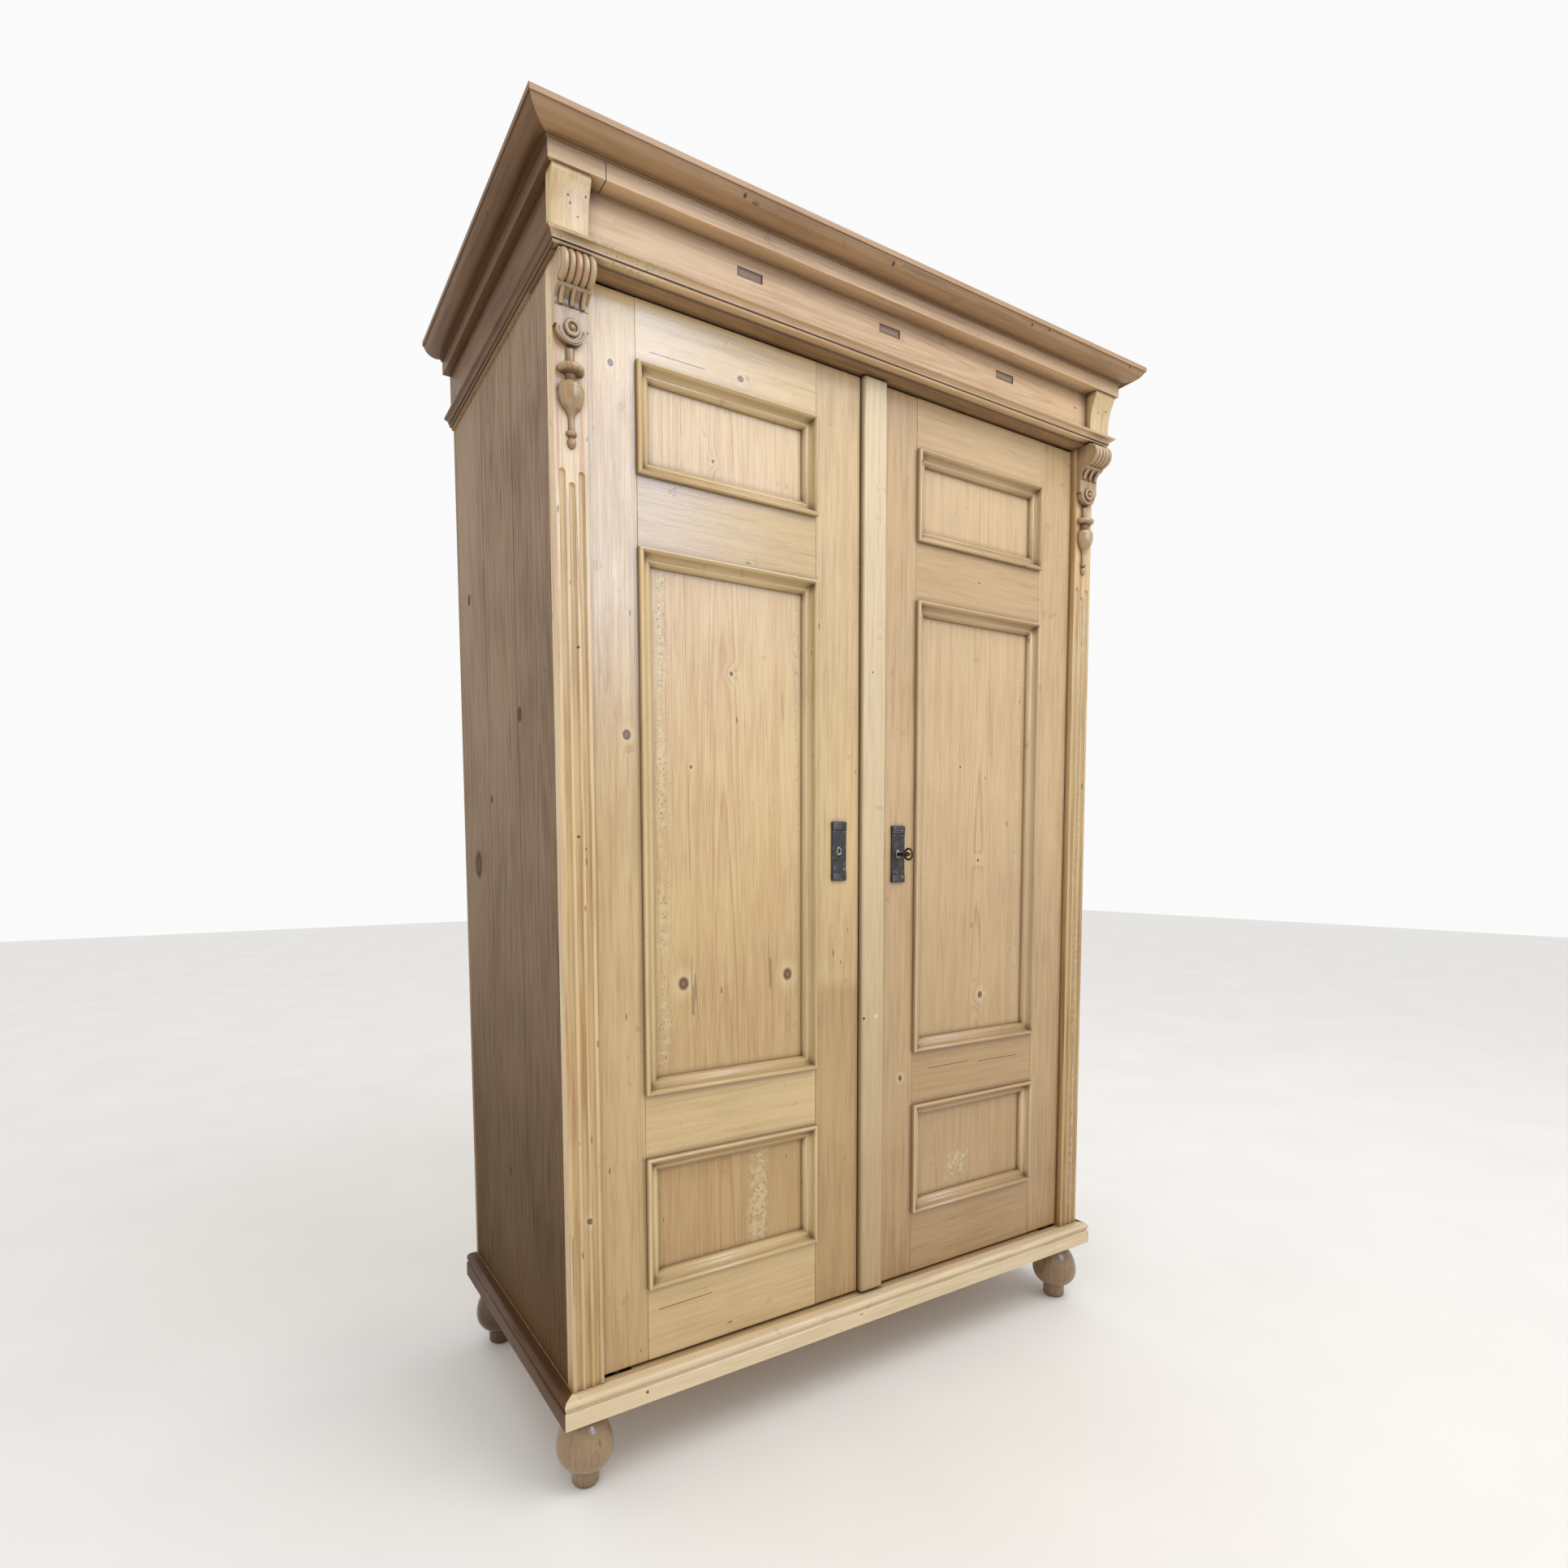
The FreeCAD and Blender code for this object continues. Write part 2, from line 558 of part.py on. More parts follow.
def base():
    foot_x = half_width - dims.FootInsetSide
    foot_ys = {"front": front + dims.FootInsetFront, "back": back - dims.FootInsetBack}
    blocks = []
    for end, foot_y in foot_ys.items():
        for side, sign in (("left", -1), ("right", 1)):
            foot(f"foot_{end}_{side}", foot_x * sign, foot_y)
            outer = plinth_inside * sign
            inner = (plinth_inside - dims.BlockWidth) * sign
            xs = (outer, inner) if sign < 0 else (inner, outer)
            if end == "front":
                ys = (plinth_front_inside, plinth_front_inside + dims.BlockWidth)
            else:
                ys = (plinth_back_inside - dims.BlockWidth, plinth_back_inside)
            block = box(f"block_{end}_{side}", (xs[0], ys[0], plinth_bottom),
                        (xs[1], ys[1], floor_bottom))
            bore = cylinder(f"bore_{end}_{side}", dims.FootSpigotRadius + dims.FootSpigotFit,
                            dims.BlockWidth, (foot_x * sign, foot_y, plinth_bottom - over))
            blocks.append(cut(f"corner_block_{end}_{side}", block, [bore]))
    node("corner_blocks", group("corner_block_group", blocks))

    section = scaled(PLINTH_SHARES, dims.PlinthThickness, dims.PlinthHeight)
    section += [(dims.PlinthThickness, dims.PlinthHeight), (dims.PlinthThickness, 0)]
    outer_x = half_width + dims.PlinthOverSide
    outer_y = front - dims.PlinthOverFront
    run = back - outer_y
    front_board = stick("plinth_front", section, outer_x * 2, dims.PlinthThickness, ("start", "end"))
    node("plinth_front", place(front_board, (-outer_x, outer_y, plinth_bottom)))
    left_board = stick("plinth_left", section, run, dims.PlinthThickness, ("end",))
    node("plinth_left", place(left_board, (-outer_x, back, plinth_bottom), TO_THE_FRONT))
    right_board = stick("plinth_right", section, run, dims.PlinthThickness, ("start",))
    node("plinth_right", place(right_board, (outer_x, outer_y, plinth_bottom), TO_THE_BACK))
    node("plinth_back", box("plinth_back", (-plinth_inside, plinth_back_inside, plinth_bottom),
                            (plinth_inside, back, plinth_top)))

    bearers = []
    for side, sign in (("left", -1), ("right", 1)):
        middle = dims.BearerSpread * sign
        bearers.append(box(f"bearer_{side}",
                           (middle - dims.BearerWidth / 2, plinth_front_inside,
                            floor_bottom - dims.BearerThickness),
                           (middle + dims.BearerWidth / 2, plinth_back_inside, floor_bottom)))
    node("floor_bearers", group("bearer_group", bearers))

    planks = boards("floor_board", (-plinth_inside, plinth_front_inside, floor_bottom),
                    (plinth_inside, plinth_back_inside, plinth_top), FLOOR_BOARDS, 1)
    planks[0] = cut("floor_board_front", planks[0],
                    pivot_recesses("floor", plinth_top, -1)
                    + [slide_slot("floor", floor_bottom, plinth_top)])
    node("floor_boards", group("floor_board_group", planks))


def pivot_recesses(name, face, into):
    """Housings for the two socket plates, and the holes for the ends of the pins."""
    cutters = []
    hole = dims.PivotReach + dims.PinHoleSlack
    for side, sign in (("left", -1), ("right", 1)):
        low, high = plate_span(sign)
        depth = dims.PlateThickness * into
        zs = (face, face + depth) if into > 0 else (face + depth, face)
        housing = box(f"{name}_housing_{side}", (low, pivot_y - dims.PlateWidth / 2, zs[0]),
                      (high, pivot_y + dims.PlateWidth / 2, zs[1]))
        start = face + depth if into > 0 else face + depth - hole
        bore = cylinder(f"{name}_pin_hole_{side}", dims.PivotRadius + dims.PinHoleSlack, hole,
                        (pivot_x * sign, pivot_y, start))
        cutters += [housing, bore]
    return cutters


def plate_span(sign):
    """The lowest and highest X of a pivot or socket plate."""
    outer = (pivot_x + dims.PivotInset) * sign
    inner = (pivot_x + dims.PivotInset - dims.PlateLength) * sign
    return (outer, inner) if sign < 0 else (inner, outer)


def slide_slot(name, low, high):
    """The slot that a slide bolt shoots into."""
    slack = dims.SlotSlack
    return box(f"{name}_slot",
               (-dims.SlideX - dims.SlideWidth / 2 - slack, slide_front - slack, low - over),
               (-dims.SlideX + dims.SlideWidth / 2 + slack, slide_back + slack, high + over))


# Carcase

def pilaster(side, sign):
    """A front corner post with three stopped flutes."""
    low_x = -half_width if sign < 0 else pilaster_inside
    post = box(f"post_{side}", (low_x, front, plinth_top),
               (low_x + dims.PilasterWidth, front + dims.PilasterThickness, soffit))
    cutters = []
    axis_y = front - dims.FluteRadius + dims.FluteDepth
    for number in (-1, 0, 1):
        x = low_x + dims.PilasterWidth / 2 + dims.FlutePitch * number
        top = soffit - dims.FluteDrop - (dims.FluteStagger if number == 0 else 0)
        cutters.append(cylinder(f"flute_{side}_{number + 2}", dims.FluteRadius,
                                top - plinth_top + over, (x, axis_y, plinth_top - over)))
        ball = doc.addObject("Part::Sphere", f"flute_end_{side}_{number + 2}")
        bind(ball, "Radius", dims.FluteRadius)
        cutters.append(place(ball, (x, axis_y, top)))
    node(f"pilaster_{side}", cut(f"pilaster_{side}", post, cutters))


def carcase():
    for side, sign in (("left", -1), ("right", 1)):
        pilaster(side, sign)
        xs = (-half_width, -side_inside) if sign < 0 else (side_inside, half_width)
        planks = boards(f"side_plank_{side}", (xs[0], front + dims.PilasterThickness, plinth_top),
                        (xs[1], back_inside, soffit), SIDE_PLANKS, 1)
        node(f"side_{side}", group(f"side_group_{side}", planks))
    node("back_boards", group("back_group", boards(
        "back_board", (-half_width, back_inside, plinth_top), (half_width, back, soffit),
        BACK_BOARDS, 0)))


def interior():
    shelf_top = soffit - dims.ShelfDrop
    shelf_bottom = shelf_top - dims.ShelfThickness
    shelf_front = front + dims.ShelfFront
    node("hat_shelf", box("hat_shelf", (-side_inside, shelf_front, shelf_bottom),
                          (side_inside, back_inside, shelf_top)))
    pole_y = front + dims.PoleSetback
    pole_z = soffit - dims.PoleDrop
    pole_end = side_inside - dims.CupWall - dims.CupFit
    node("hanging_rail", cylinder("hanging_rail", dims.PoleRadius, pole_end * 2,
                                  (-pole_end, pole_y, pole_z), ALONG_X))
    cleats = []
    cups = []
    for side, sign in (("left", -1), ("right", 1)):
        wall = side_inside * sign
        inner = (side_inside - dims.CleatSize) * sign
        xs = (wall, inner) if sign < 0 else (inner, wall)
        cleats.append(box(f"cleat_{side}",
                          (xs[0], shelf_front + dims.CleatInset, shelf_bottom - dims.CleatSize),
                          (xs[1], back_inside, shelf_bottom)))
        start = -side_inside if sign < 0 else side_inside - dims.CupThickness
        disc = cylinder(f"cup_disc_{side}", dims.CupRadius, dims.CupThickness,
                        (start, pole_y, pole_z), ALONG_X)
        mouth = -side_inside + dims.CupWall if sign < 0 else start - over
        bore = cylinder(f"cup_bore_{side}", dims.PoleRadius + dims.CupFit,
                        dims.CupThickness - dims.CupWall + over, (mouth, pole_y, pole_z), ALONG_X)
        cups.append(cut(f"cup_{side}", disc, [bore]))
    node("shelf_cleats", group("cleat_group", cleats))
    node("rail_cups", group("cup_group", cups))


# Crown

def soffit_and_ceiling():
    board = box("soffit_blank", (-frieze_side, frieze_front, soffit),
                (frieze_side, frieze_front + dims.SoffitWidth, ceiling_top))
    node("soffit_board", cut("soffit_board", board,
                             pivot_recesses("soffit", soffit, 1)
                             + [slide_slot("soffit", soffit, ceiling_top)]))
    node("ceiling_boards", group("ceiling_group", boards(
        "ceiling_board", (-frieze_side, frieze_front + dims.SoffitWidth, soffit),
        (frieze_side, back, ceiling_top), CROWN_BOARDS, 1)))
    stops = []
    for side, sign in (("left", -1), ("right", 1)):
        middle = dims.StopPlace * sign
        stops.append(box(f"stop_{side}",
                         (middle - dims.StopLength / 2, door_back + dims.RunningGap,
                          soffit - dims.StopSize),
                         (middle + dims.StopLength / 2,
                          door_back + dims.RunningGap + dims.StopSize, soffit)))
    node("door_stops", group("stop_group", stops))


def frieze():
    board = box("frieze_blank", (-frieze_side, frieze_front, ceiling_top),
                (frieze_side, frieze_front + dims.FriezeThickness, crown_board_bottom))
    marks = []
    mark_z = fascia_bottom - dims.RecessDrop
    for number in range(FRIEZE_MARKS):
        steps = number - (FRIEZE_MARKS - 1) / 2
        mark_x = dims.RecessShift + dims.RecessPitch * steps
        marks.append(box(f"mark_{number + 1}",
                         (mark_x - dims.RecessWidth / 2, frieze_front - over,
                          mark_z - dims.RecessHeight / 2),
                         (mark_x + dims.RecessWidth / 2, frieze_front + dims.RecessDepth,
                          mark_z + dims.RecessHeight / 2)))
    node("frieze_front", cut("frieze_front", board, marks))
    inside = frieze_side - dims.FriezeThickness
    behind = frieze_front + dims.FriezeThickness
    node("frieze_frame", group("frieze_frame_group", [
        box("frieze_left", (-frieze_side, behind, ceiling_top), (-inside, back, crown_board_bottom)),
        box("frieze_right", (inside, behind, ceiling_top), (frieze_side, back, crown_board_bottom)),
        box("frieze_back", (-inside, back - dims.FriezeThickness, ceiling_top),
            (inside, back, crown_board_bottom))]))
    node("crown_boards", group("crown_board_group", boards(
        "crown_board", (-frieze_side, frieze_front, crown_board_bottom),
        (frieze_side, back, crown_top), CROWN_BOARDS, 1)))
    shape = scaled(FRIEZE_BLOCK_SHARES, -dims.FriezeBlockReach, dims.FriezeFace)
    blocks = []
    for side, sign in (("left", -1), ("right", 1)):
        outer = half_width + dims.FriezeBlockOverSide
        start = -outer if sign < 0 else outer - dims.FriezeBlockWidth
        body = new_body(f"frieze_block_{side}")
        pad(body, "YZ_Plane", [(0, 0)] + shape + [(0, dims.FriezeFace)], dims.FriezeBlockWidth)
        blocks.append(place(body, (start, frieze_front, frieze_bottom)))
    node("frieze_blocks", group("frieze_block_group", blocks))


def moulding_round(name, shares, reach, height, overs, bottom, joint=None):
    """Mitred mouldings along the front and both sides, with plain ends at the back."""
    over_front, over_side = overs
    outer_x = half_width + over_side
    outer_y = front - over_front
    run = back - outer_y
    front_depth = over_front - dims.FriezeOverFront
    side_depth = over_side - dims.FriezeOverSide
    shape = scaled(shares, reach, height)
    front_section = shape + [(front_depth, height), (front_depth, 0)]
    side_section = shape + [(side_depth, height), (side_depth, 0)]
    left = stick(f"{name}_left", side_section, run, side_depth, ("end",))
    place(left, (-outer_x, back, bottom), TO_THE_FRONT)
    right = stick(f"{name}_right", side_section, run, side_depth, ("start",))
    place(right, (outer_x, outer_y, bottom), TO_THE_BACK)
    if joint is None:
        whole = stick(f"{name}_front", front_section, outer_x * 2, front_depth, ("start", "end"),
                      side_depth)
        return [place(whole, (-outer_x, outer_y, bottom)), left, right]
    short_length = joint + over_side
    short = stick(f"{name}_short", front_section, short_length, front_depth, ("start",), side_depth)
    place(short, (-outer_x, outer_y, bottom))
    rest = stick(f"{name}_long", front_section, outer_x * 2 - short_length, front_depth, ("end",),
                 side_depth)
    place(rest, (short_length - outer_x, outer_y, bottom))
    return [short, rest, left, right]


def crown():
    soffit_and_ceiling()
    frieze()
    node("astragal", group("astragal_group", moulding_round(
        "astragal", ASTRAGAL_SHARES, dims.AstragalReach, dims.AstragalHeight,
        (dims.AstragalOverFront, dims.AstragalOverSide), astragal_bottom)))
    node("fascia", group("fascia_group", moulding_round(
        "fascia", [(0.0, 0.0), (0.0, 1.0)], dims.FasciaOverSide, dims.FasciaHeight,
        (dims.FasciaOverFront, dims.FasciaOverSide), fascia_bottom, dims.FasciaJoint)))
    cornice = moulding_round(
        "cornice", CORNICE_SHARES, dims.CorniceReach, dims.CorniceHeight,
        (dims.FasciaOverFront + dims.CorniceReach, dims.FasciaOverSide + dims.CorniceReach),
        cornice_bottom)
    for place_name, moulding in zip(("front", "left", "right"), cornice):
        node(f"cornice_{place_name}", moulding)


# Carved and turned ornament on the pilasters

def console(side, start):
    """A scroll with reeds over a collar and a hollow neck, and a rounded tongue below."""
    head = new_body(f"console_head_{side}")
    shape = [(dims.ConsoleReach * -x, dims.ConsoleHeight * -y, *share)
             for x, y, *share in CONSOLE_SHARES]
    pad(head, "YZ_Plane", [(0, -dims.ConsoleHeight)] + shape + [(0, 0)], dims.PilasterWidth)
    place(head, (start, front, soffit))
    pieces = [head]
    drum_radius = dims.ConsoleReach * (1 - REED_CENTRE_SHARE)
    drum_length = dims.PilasterWidth - dims.ReedInset * 2
    valley = drum_radius - dims.ReedDepth
    reeds = [(valley, drum_length * (1 - number / REEDS), REED_SHARE) for number in range(1, REEDS)]
    drum = turned(f"console_drum_{side}", [(0, drum_length), (valley, drum_length)] + reeds
                  + [(valley, 0, REED_SHARE), (0, 0)])
    pieces.append(place(drum, (start + dims.ReedInset, front - dims.ConsoleReach * REED_CENTRE_SHARE,
                               soffit - drum_radius - dims.ReedInset), ALONG_X))
    tongue = new_body(f"console_tongue_{side}")
    ear = dims.TongueEar
    wide = dims.PilasterWidth
    round_drop = (wide - ear * 2) / 2
    ear_z = -(dims.TongueHeight - round_drop - ear)
    shoulder_z = -(dims.TongueHeight - round_drop)
    pad(tongue, "XZ_Plane",
        [(0, 0), (wide, 0), (wide, ear_z), (wide - ear, ear_z), (wide - ear, shoulder_z),
         (ear, shoulder_z, HALF_ROUND_SHARE), (ear, ear_z), (0, ear_z)], dims.TongueThickness)
    pieces.append(place(tongue, (start, front, soffit - dims.ConsoleHeight)))
    node(f"console_{side}", fuse(f"console_{side}", pieces))


def ornament():
    rosettes = []
    tongue_top = soffit - dims.ConsoleHeight
    pendant_foot = tongue_top - dims.TongueHeight - dims.PendantLength
    for side, start in (("left", -half_width), ("right", pilaster_inside)):
        middle = start + dims.PilasterWidth / 2
        console(side, start)
        rosette = turned(f"rosette_{side}", [(0, dims.RosetteHeight)] + scaled(
            ROSETTE_SHARES, dims.RosetteRadius, dims.RosetteHeight) + [(0, 0)])
        rosettes.append(place(rosette, (middle, front - dims.TongueThickness,
                                        tongue_top - dims.RosetteDrop), TOWARDS_FRONT))
        pendant = turned(f"pendant_{side}", [(0, dims.PendantLength)] + scaled(
            PENDANT_SHARES, dims.PendantRadius, dims.PendantLength), 180)
        node(f"pendant_{side}", place(pendant, (middle, front, pendant_foot), HALF_TURN))
    node("rosettes", group("rosette_group", rosettes))


# Doors

LEAVES = {
    "left": (-1, dims.DoorGapSide - pilaster_inside, strip_left - dims.DoorGapMeeting,
             dims.LeftHingeStile, dims.LeftMeetingStile),
    "right": (1, strip_left, pilaster_inside - dims.DoorGapSide,
              dims.RightHingeStile, dims.RightMeetingStile),
}


def leaf_stiles(side, xs, opening, groove):
    """Two stiles, each grooved along its inner edge for the panels and rails."""
    groove_y = (door_face + dims.PanelSetback, door_face + dims.PanelSetback + dims.PanelThickness)
    spans = {"hinge": (xs[0], opening[0]), "meeting": (opening[1], xs[1])}
    if side == "right":
        spans = {"meeting": (xs[0], opening[0]), "hinge": (opening[1], xs[1])}
    for role, (low, high) in spans.items():
        blank = box(f"{side}_{role}_blank", (low, door_face, door_bottom), (high, door_back, door_top))
        left_of_opening = low is xs[0]
        near = high - groove if left_of_opening else low
        far = high if left_of_opening else low + groove
        tools = [box(f"{side}_{role}_groove", (near, groove_y[0], door_bottom),
                     (far, groove_y[1], door_top))]
        if role == "hinge":
            tools += leaf_plate_housings(side)
        elif side == "right":
            tools.append(cylinder("key_bore", dims.KeyBoreRadius, dims.DoorThickness + over * 2,
                                  (dims.KeyX, door_face - over, dims.KeyHeight), ALONG_Y))
        node(f"{side}_door_{role}_stile", cut(f"{side}_door_{role}_stile", blank, tools))


def leaf_plate_housings(side):
    """Housings for the pivot plates in the top and bottom edge of a leaf."""
    low, high = plate_span(LEAVES[side][0])
    ys = (pivot_y - dims.PlateWidth / 2, pivot_y + dims.PlateWidth / 2)
    return [
        box(f"{side}_top_housing", (low, ys[0], door_top - dims.PlateThickness), (high, ys[1], door_top)),
        box(f"{side}_bottom_housing", (low, ys[0], door_bottom),
            (high, ys[1], door_bottom + dims.PlateThickness)),
    ]


def leaf_rails(side, opening, groove, levels):
    """Four rails, tongued into the stiles and grooved for the panels."""
    groove_y = (door_face + dims.PanelSetback, door_face + dims.PanelSetback + dims.PanelThickness)
    long_x = (opening[0] - groove, opening[1] + groove)
    rails = []
    for name, low, high in levels:
        main = box(f"{side}_{name}_main", (opening[0], door_face, low), (opening[1], door_back, high))
        tongue = box(f"{side}_{name}_tongue", (long_x[0], groove_y[0], low), (long_x[1], groove_y[1], high))
        tools = []
        if name != "bottom_rail":
            tools.append(box(f"{side}_{name}_low_groove", (long_x[0], groove_y[0], low),
                             (long_x[1], groove_y[1], low + groove)))
        if name != "top_rail":
            tools.append(box(f"{side}_{name}_high_groove", (long_x[0], groove_y[0], high - groove),
                             (long_x[1], groove_y[1], high)))
        rails.append(cut(f"{side}_{name}", fuse(f"{side}_{name}_blank", [main, tongue]), tools))
    node(f"{side}_door_rails", group(f"{side}_rail_group", rails))


DOOR_STICKS = {
    "bottom": FreeCAD.Rotation(FreeCAD.Vector(1, 0, 0), FreeCAD.Vector(0, 0, 1), FreeCAD.Vector(0, -1, 0)),
    "right": FreeCAD.Rotation(FreeCAD.Vector(0, 0, 1), FreeCAD.Vector(-1, 0, 0), FreeCAD.Vector(0, -1, 0)),
    "top": FreeCAD.Rotation(FreeCAD.Vector(-1, 0, 0), FreeCAD.Vector(0, 0, -1), FreeCAD.Vector(0, -1, 0)),
    "left": FreeCAD.Rotation(FreeCAD.Vector(0, 0, -1), FreeCAD.Vector(1, 0, 0), FreeCAD.Vector(0, -1, 0)),
}


def panel_moulding(name, xs, zs):
    """Four mitred sticks on a panel, round the inside of its opening."""
    panel_face = door_face + dims.PanelSetback
    height = dims.DoorMouldProud + dims.PanelSetback
    section = [(0, 0)] + scaled(DOOR_MOULD_SHARES, dims.DoorMouldWidth, height)
    starts = {"bottom": (xs[0], zs[0]), "right": (xs[1], zs[0]),
              "top": (xs[1], zs[1]), "left": (xs[0], zs[1])}
    pieces = []
    for place_name, (x, z) in starts.items():
        length = xs[1] - xs[0] if place_name in ("bottom", "top") else zs[1] - zs[0]
        body = stick(f"{name}_{place_name}", section, length, dims.DoorMouldWidth, ("start", "end"))
        pieces.append(place(body, (x, panel_face, z), DOOR_STICKS[place_name]))
    return pieces


def leaf_panels(side, opening, groove, bays):
    """Flat panels loose in their grooves, and the mouldings on them."""
    reach = groove - dims.PanelPlay
    face = door_face + dims.PanelSetback
    panels = []
    mouldings = []
    for name, low, high in bays:
        panels.append(box(f"{side}_{name}_panel", (opening[0] - reach, face, low - reach),
                          (opening[1] + reach, face + dims.PanelThickness, high + reach)))
        mouldings += panel_moulding(f"{side}_{name}_mould", opening, (low, high))
    node(f"{side}_door_panels", group(f"{side}_panel_group", panels))
    node(f"{side}_door_mouldings", group(f"{side}_moulding_group", mouldings))


def leaf_pivots(side, sign):
    """Iron plates let into the leaf's top and bottom edge, with the pins that it turns on."""
    low, high = plate_span(sign)
    ys = (pivot_y - dims.PlateWidth / 2, pivot_y + dims.PlateWidth / 2)
    x = pivot_x * sign
    reach = dims.PlateThickness + dims.PivotReach
    top_plate = box(f"{side}_top_plate",
                    (low, ys[0], door_top - dims.PlateThickness), (high, ys[1], door_top))
    top_pin = cylinder(f"{side}_top_pin", dims.PivotRadius, dims.PlateThickness + dims.DoorGapTop + reach,
                       (x, pivot_y, door_top - dims.PlateThickness))
    bottom_plate = box(f"{side}_bottom_plate", (low, ys[0], door_bottom),
                       (high, ys[1], door_bottom + dims.PlateThickness))
    bottom_pin = cylinder(f"{side}_bottom_pin", dims.PivotRadius,
                          dims.PlateThickness + dims.DoorGapBottom + reach,
                          (x, pivot_y, door_bottom - dims.DoorGapBottom - reach))
    shoulder = cylinder(f"{side}_shoulder", dims.PivotCollar, dims.DoorGapBottom - dims.RunningGap,
                        (x, pivot_y, plinth_top + dims.RunningGap))
    node(f"{side}_door_pivots", group(f"{side}_pivot_group", [
        fuse(f"{side}_top_pivot", [top_plate, top_pin]),
        fuse(f"{side}_bottom_pivot", [bottom_plate, bottom_pin, shoulder])]))


def pivot_sockets():
    """Iron plates in the soffit and the floor that the pins turn in."""
    plates = []
    for side, sign in (("left", -1), ("right", 1)):
        low, high = plate_span(sign)
        ys = (pivot_y - dims.PlateWidth / 2, pivot_y + dims.PlateWidth / 2)
        for level, bottom in (("soffit", soffit), ("floor", plinth_top - dims.PlateThickness)):
            plate = box(f"{level}_plate_{side}",
                        (low, ys[0], bottom), (high, ys[1], bottom + dims.PlateThickness))
            bore = cylinder(f"{level}_plate_bore_{side}", dims.PivotRadius + dims.PivotFit,
                            dims.PlateThickness + over * 2, (pivot_x * sign, pivot_y, bottom - over))
            plates.append(cut(f"{level}_socket_{side}", plate, [bore]))
    node("pivot_sockets", group("socket_group", plates))


def leaf(side):
    sign, low_x, high_x, hinge_stile, meeting_stile = LEAVES[side]
    if side == "left":
        opening = (low_x + hinge_stile, high_x - meeting_stile)
    else:
        opening = (low_x + meeting_stile, high_x - hinge_stile)
    groove = dims.GrooveDepth
    lower = (door_bottom + dims.BottomRail, door_bottom + dims.BottomRail + dims.LowerOpening)
    upper = (door_top - dims.TopRail - dims.UpperOpening, door_top - dims.TopRail)
    middle = (lower[1] + dims.LowerRail, upper[0] - dims.UpperRail)
    leaf_stiles(side, (low_x, high_x), opening, groove)
    leaf_rails(side, opening, groove, [
        ("bottom_rail", door_bottom, lower[0]), ("lower_rail", lower[1], middle[0]),
        ("upper_rail", middle[1], upper[0]), ("top_rail", upper[1], door_top)])
    leaf_panels(side, opening, groove, [("lower", *lower), ("middle", *middle), ("upper", *upper)])
    leaf_pivots(side, sign)


def cover_strip():
    """The strip that hides the joint, fixed on the right leaf."""
    ease = dims.StripEase
    wide = dims.StripWidth
    thick = dims.StripThickness
    body = new_body("cover_strip")
    pad(body, "XY_Plane",
        [(wide, 0), (wide, -(thick - ease)), (wide - ease, -thick, QUARTER_ROUND_SHARE), (ease, -thick),
         (0, -(thick - ease), QUARTER_ROUND_SHARE), (0, 0)], dims.DoorHeight)
    node("cover_strip", place(body, (strip_left, door_face, door_bottom)))


# Lock, key and bolts

def escutcheon(side, x, z):
    """A key plate with a raised band at each end."""
    half = dims.EscutcheonWidth / 2
    face = door_face - dims.EscutcheonThickness
    low = z - dims.EscutcheonHeight / 2
    high = z + dims.EscutcheonHeight / 2
    proud = face - dims.EscutcheonRelief
    blank = fuse(f"{side}_plate_blank", [
        box(f"{side}_plate", (x - half, face, low), (x + half, door_face, high)),
        box(f"{side}_plate_foot", (x - half, proud, low), (x + half, face, low + dims.EscutcheonBand)),
        box(f"{side}_plate_head", (x - half, proud, high - dims.EscutcheonBand), (x + half, face, high))])
    round_hole = cylinder(f"{side}_keyhole", dims.KeyShankRadius + dims.KeyFit,
                          dims.EscutcheonThickness + over * 2, (x, proud - over, z), ALONG_Y)
    slot = box(f"{side}_key_slot", (x - dims.SlotWidth / 2, proud - over, z - dims.SlotLength),
               (x + dims.SlotWidth / 2, door_face + over, z))
    node(f"{side}_escutcheon", cut(f"{side}_escutcheon", blank, [round_hole, slot]))


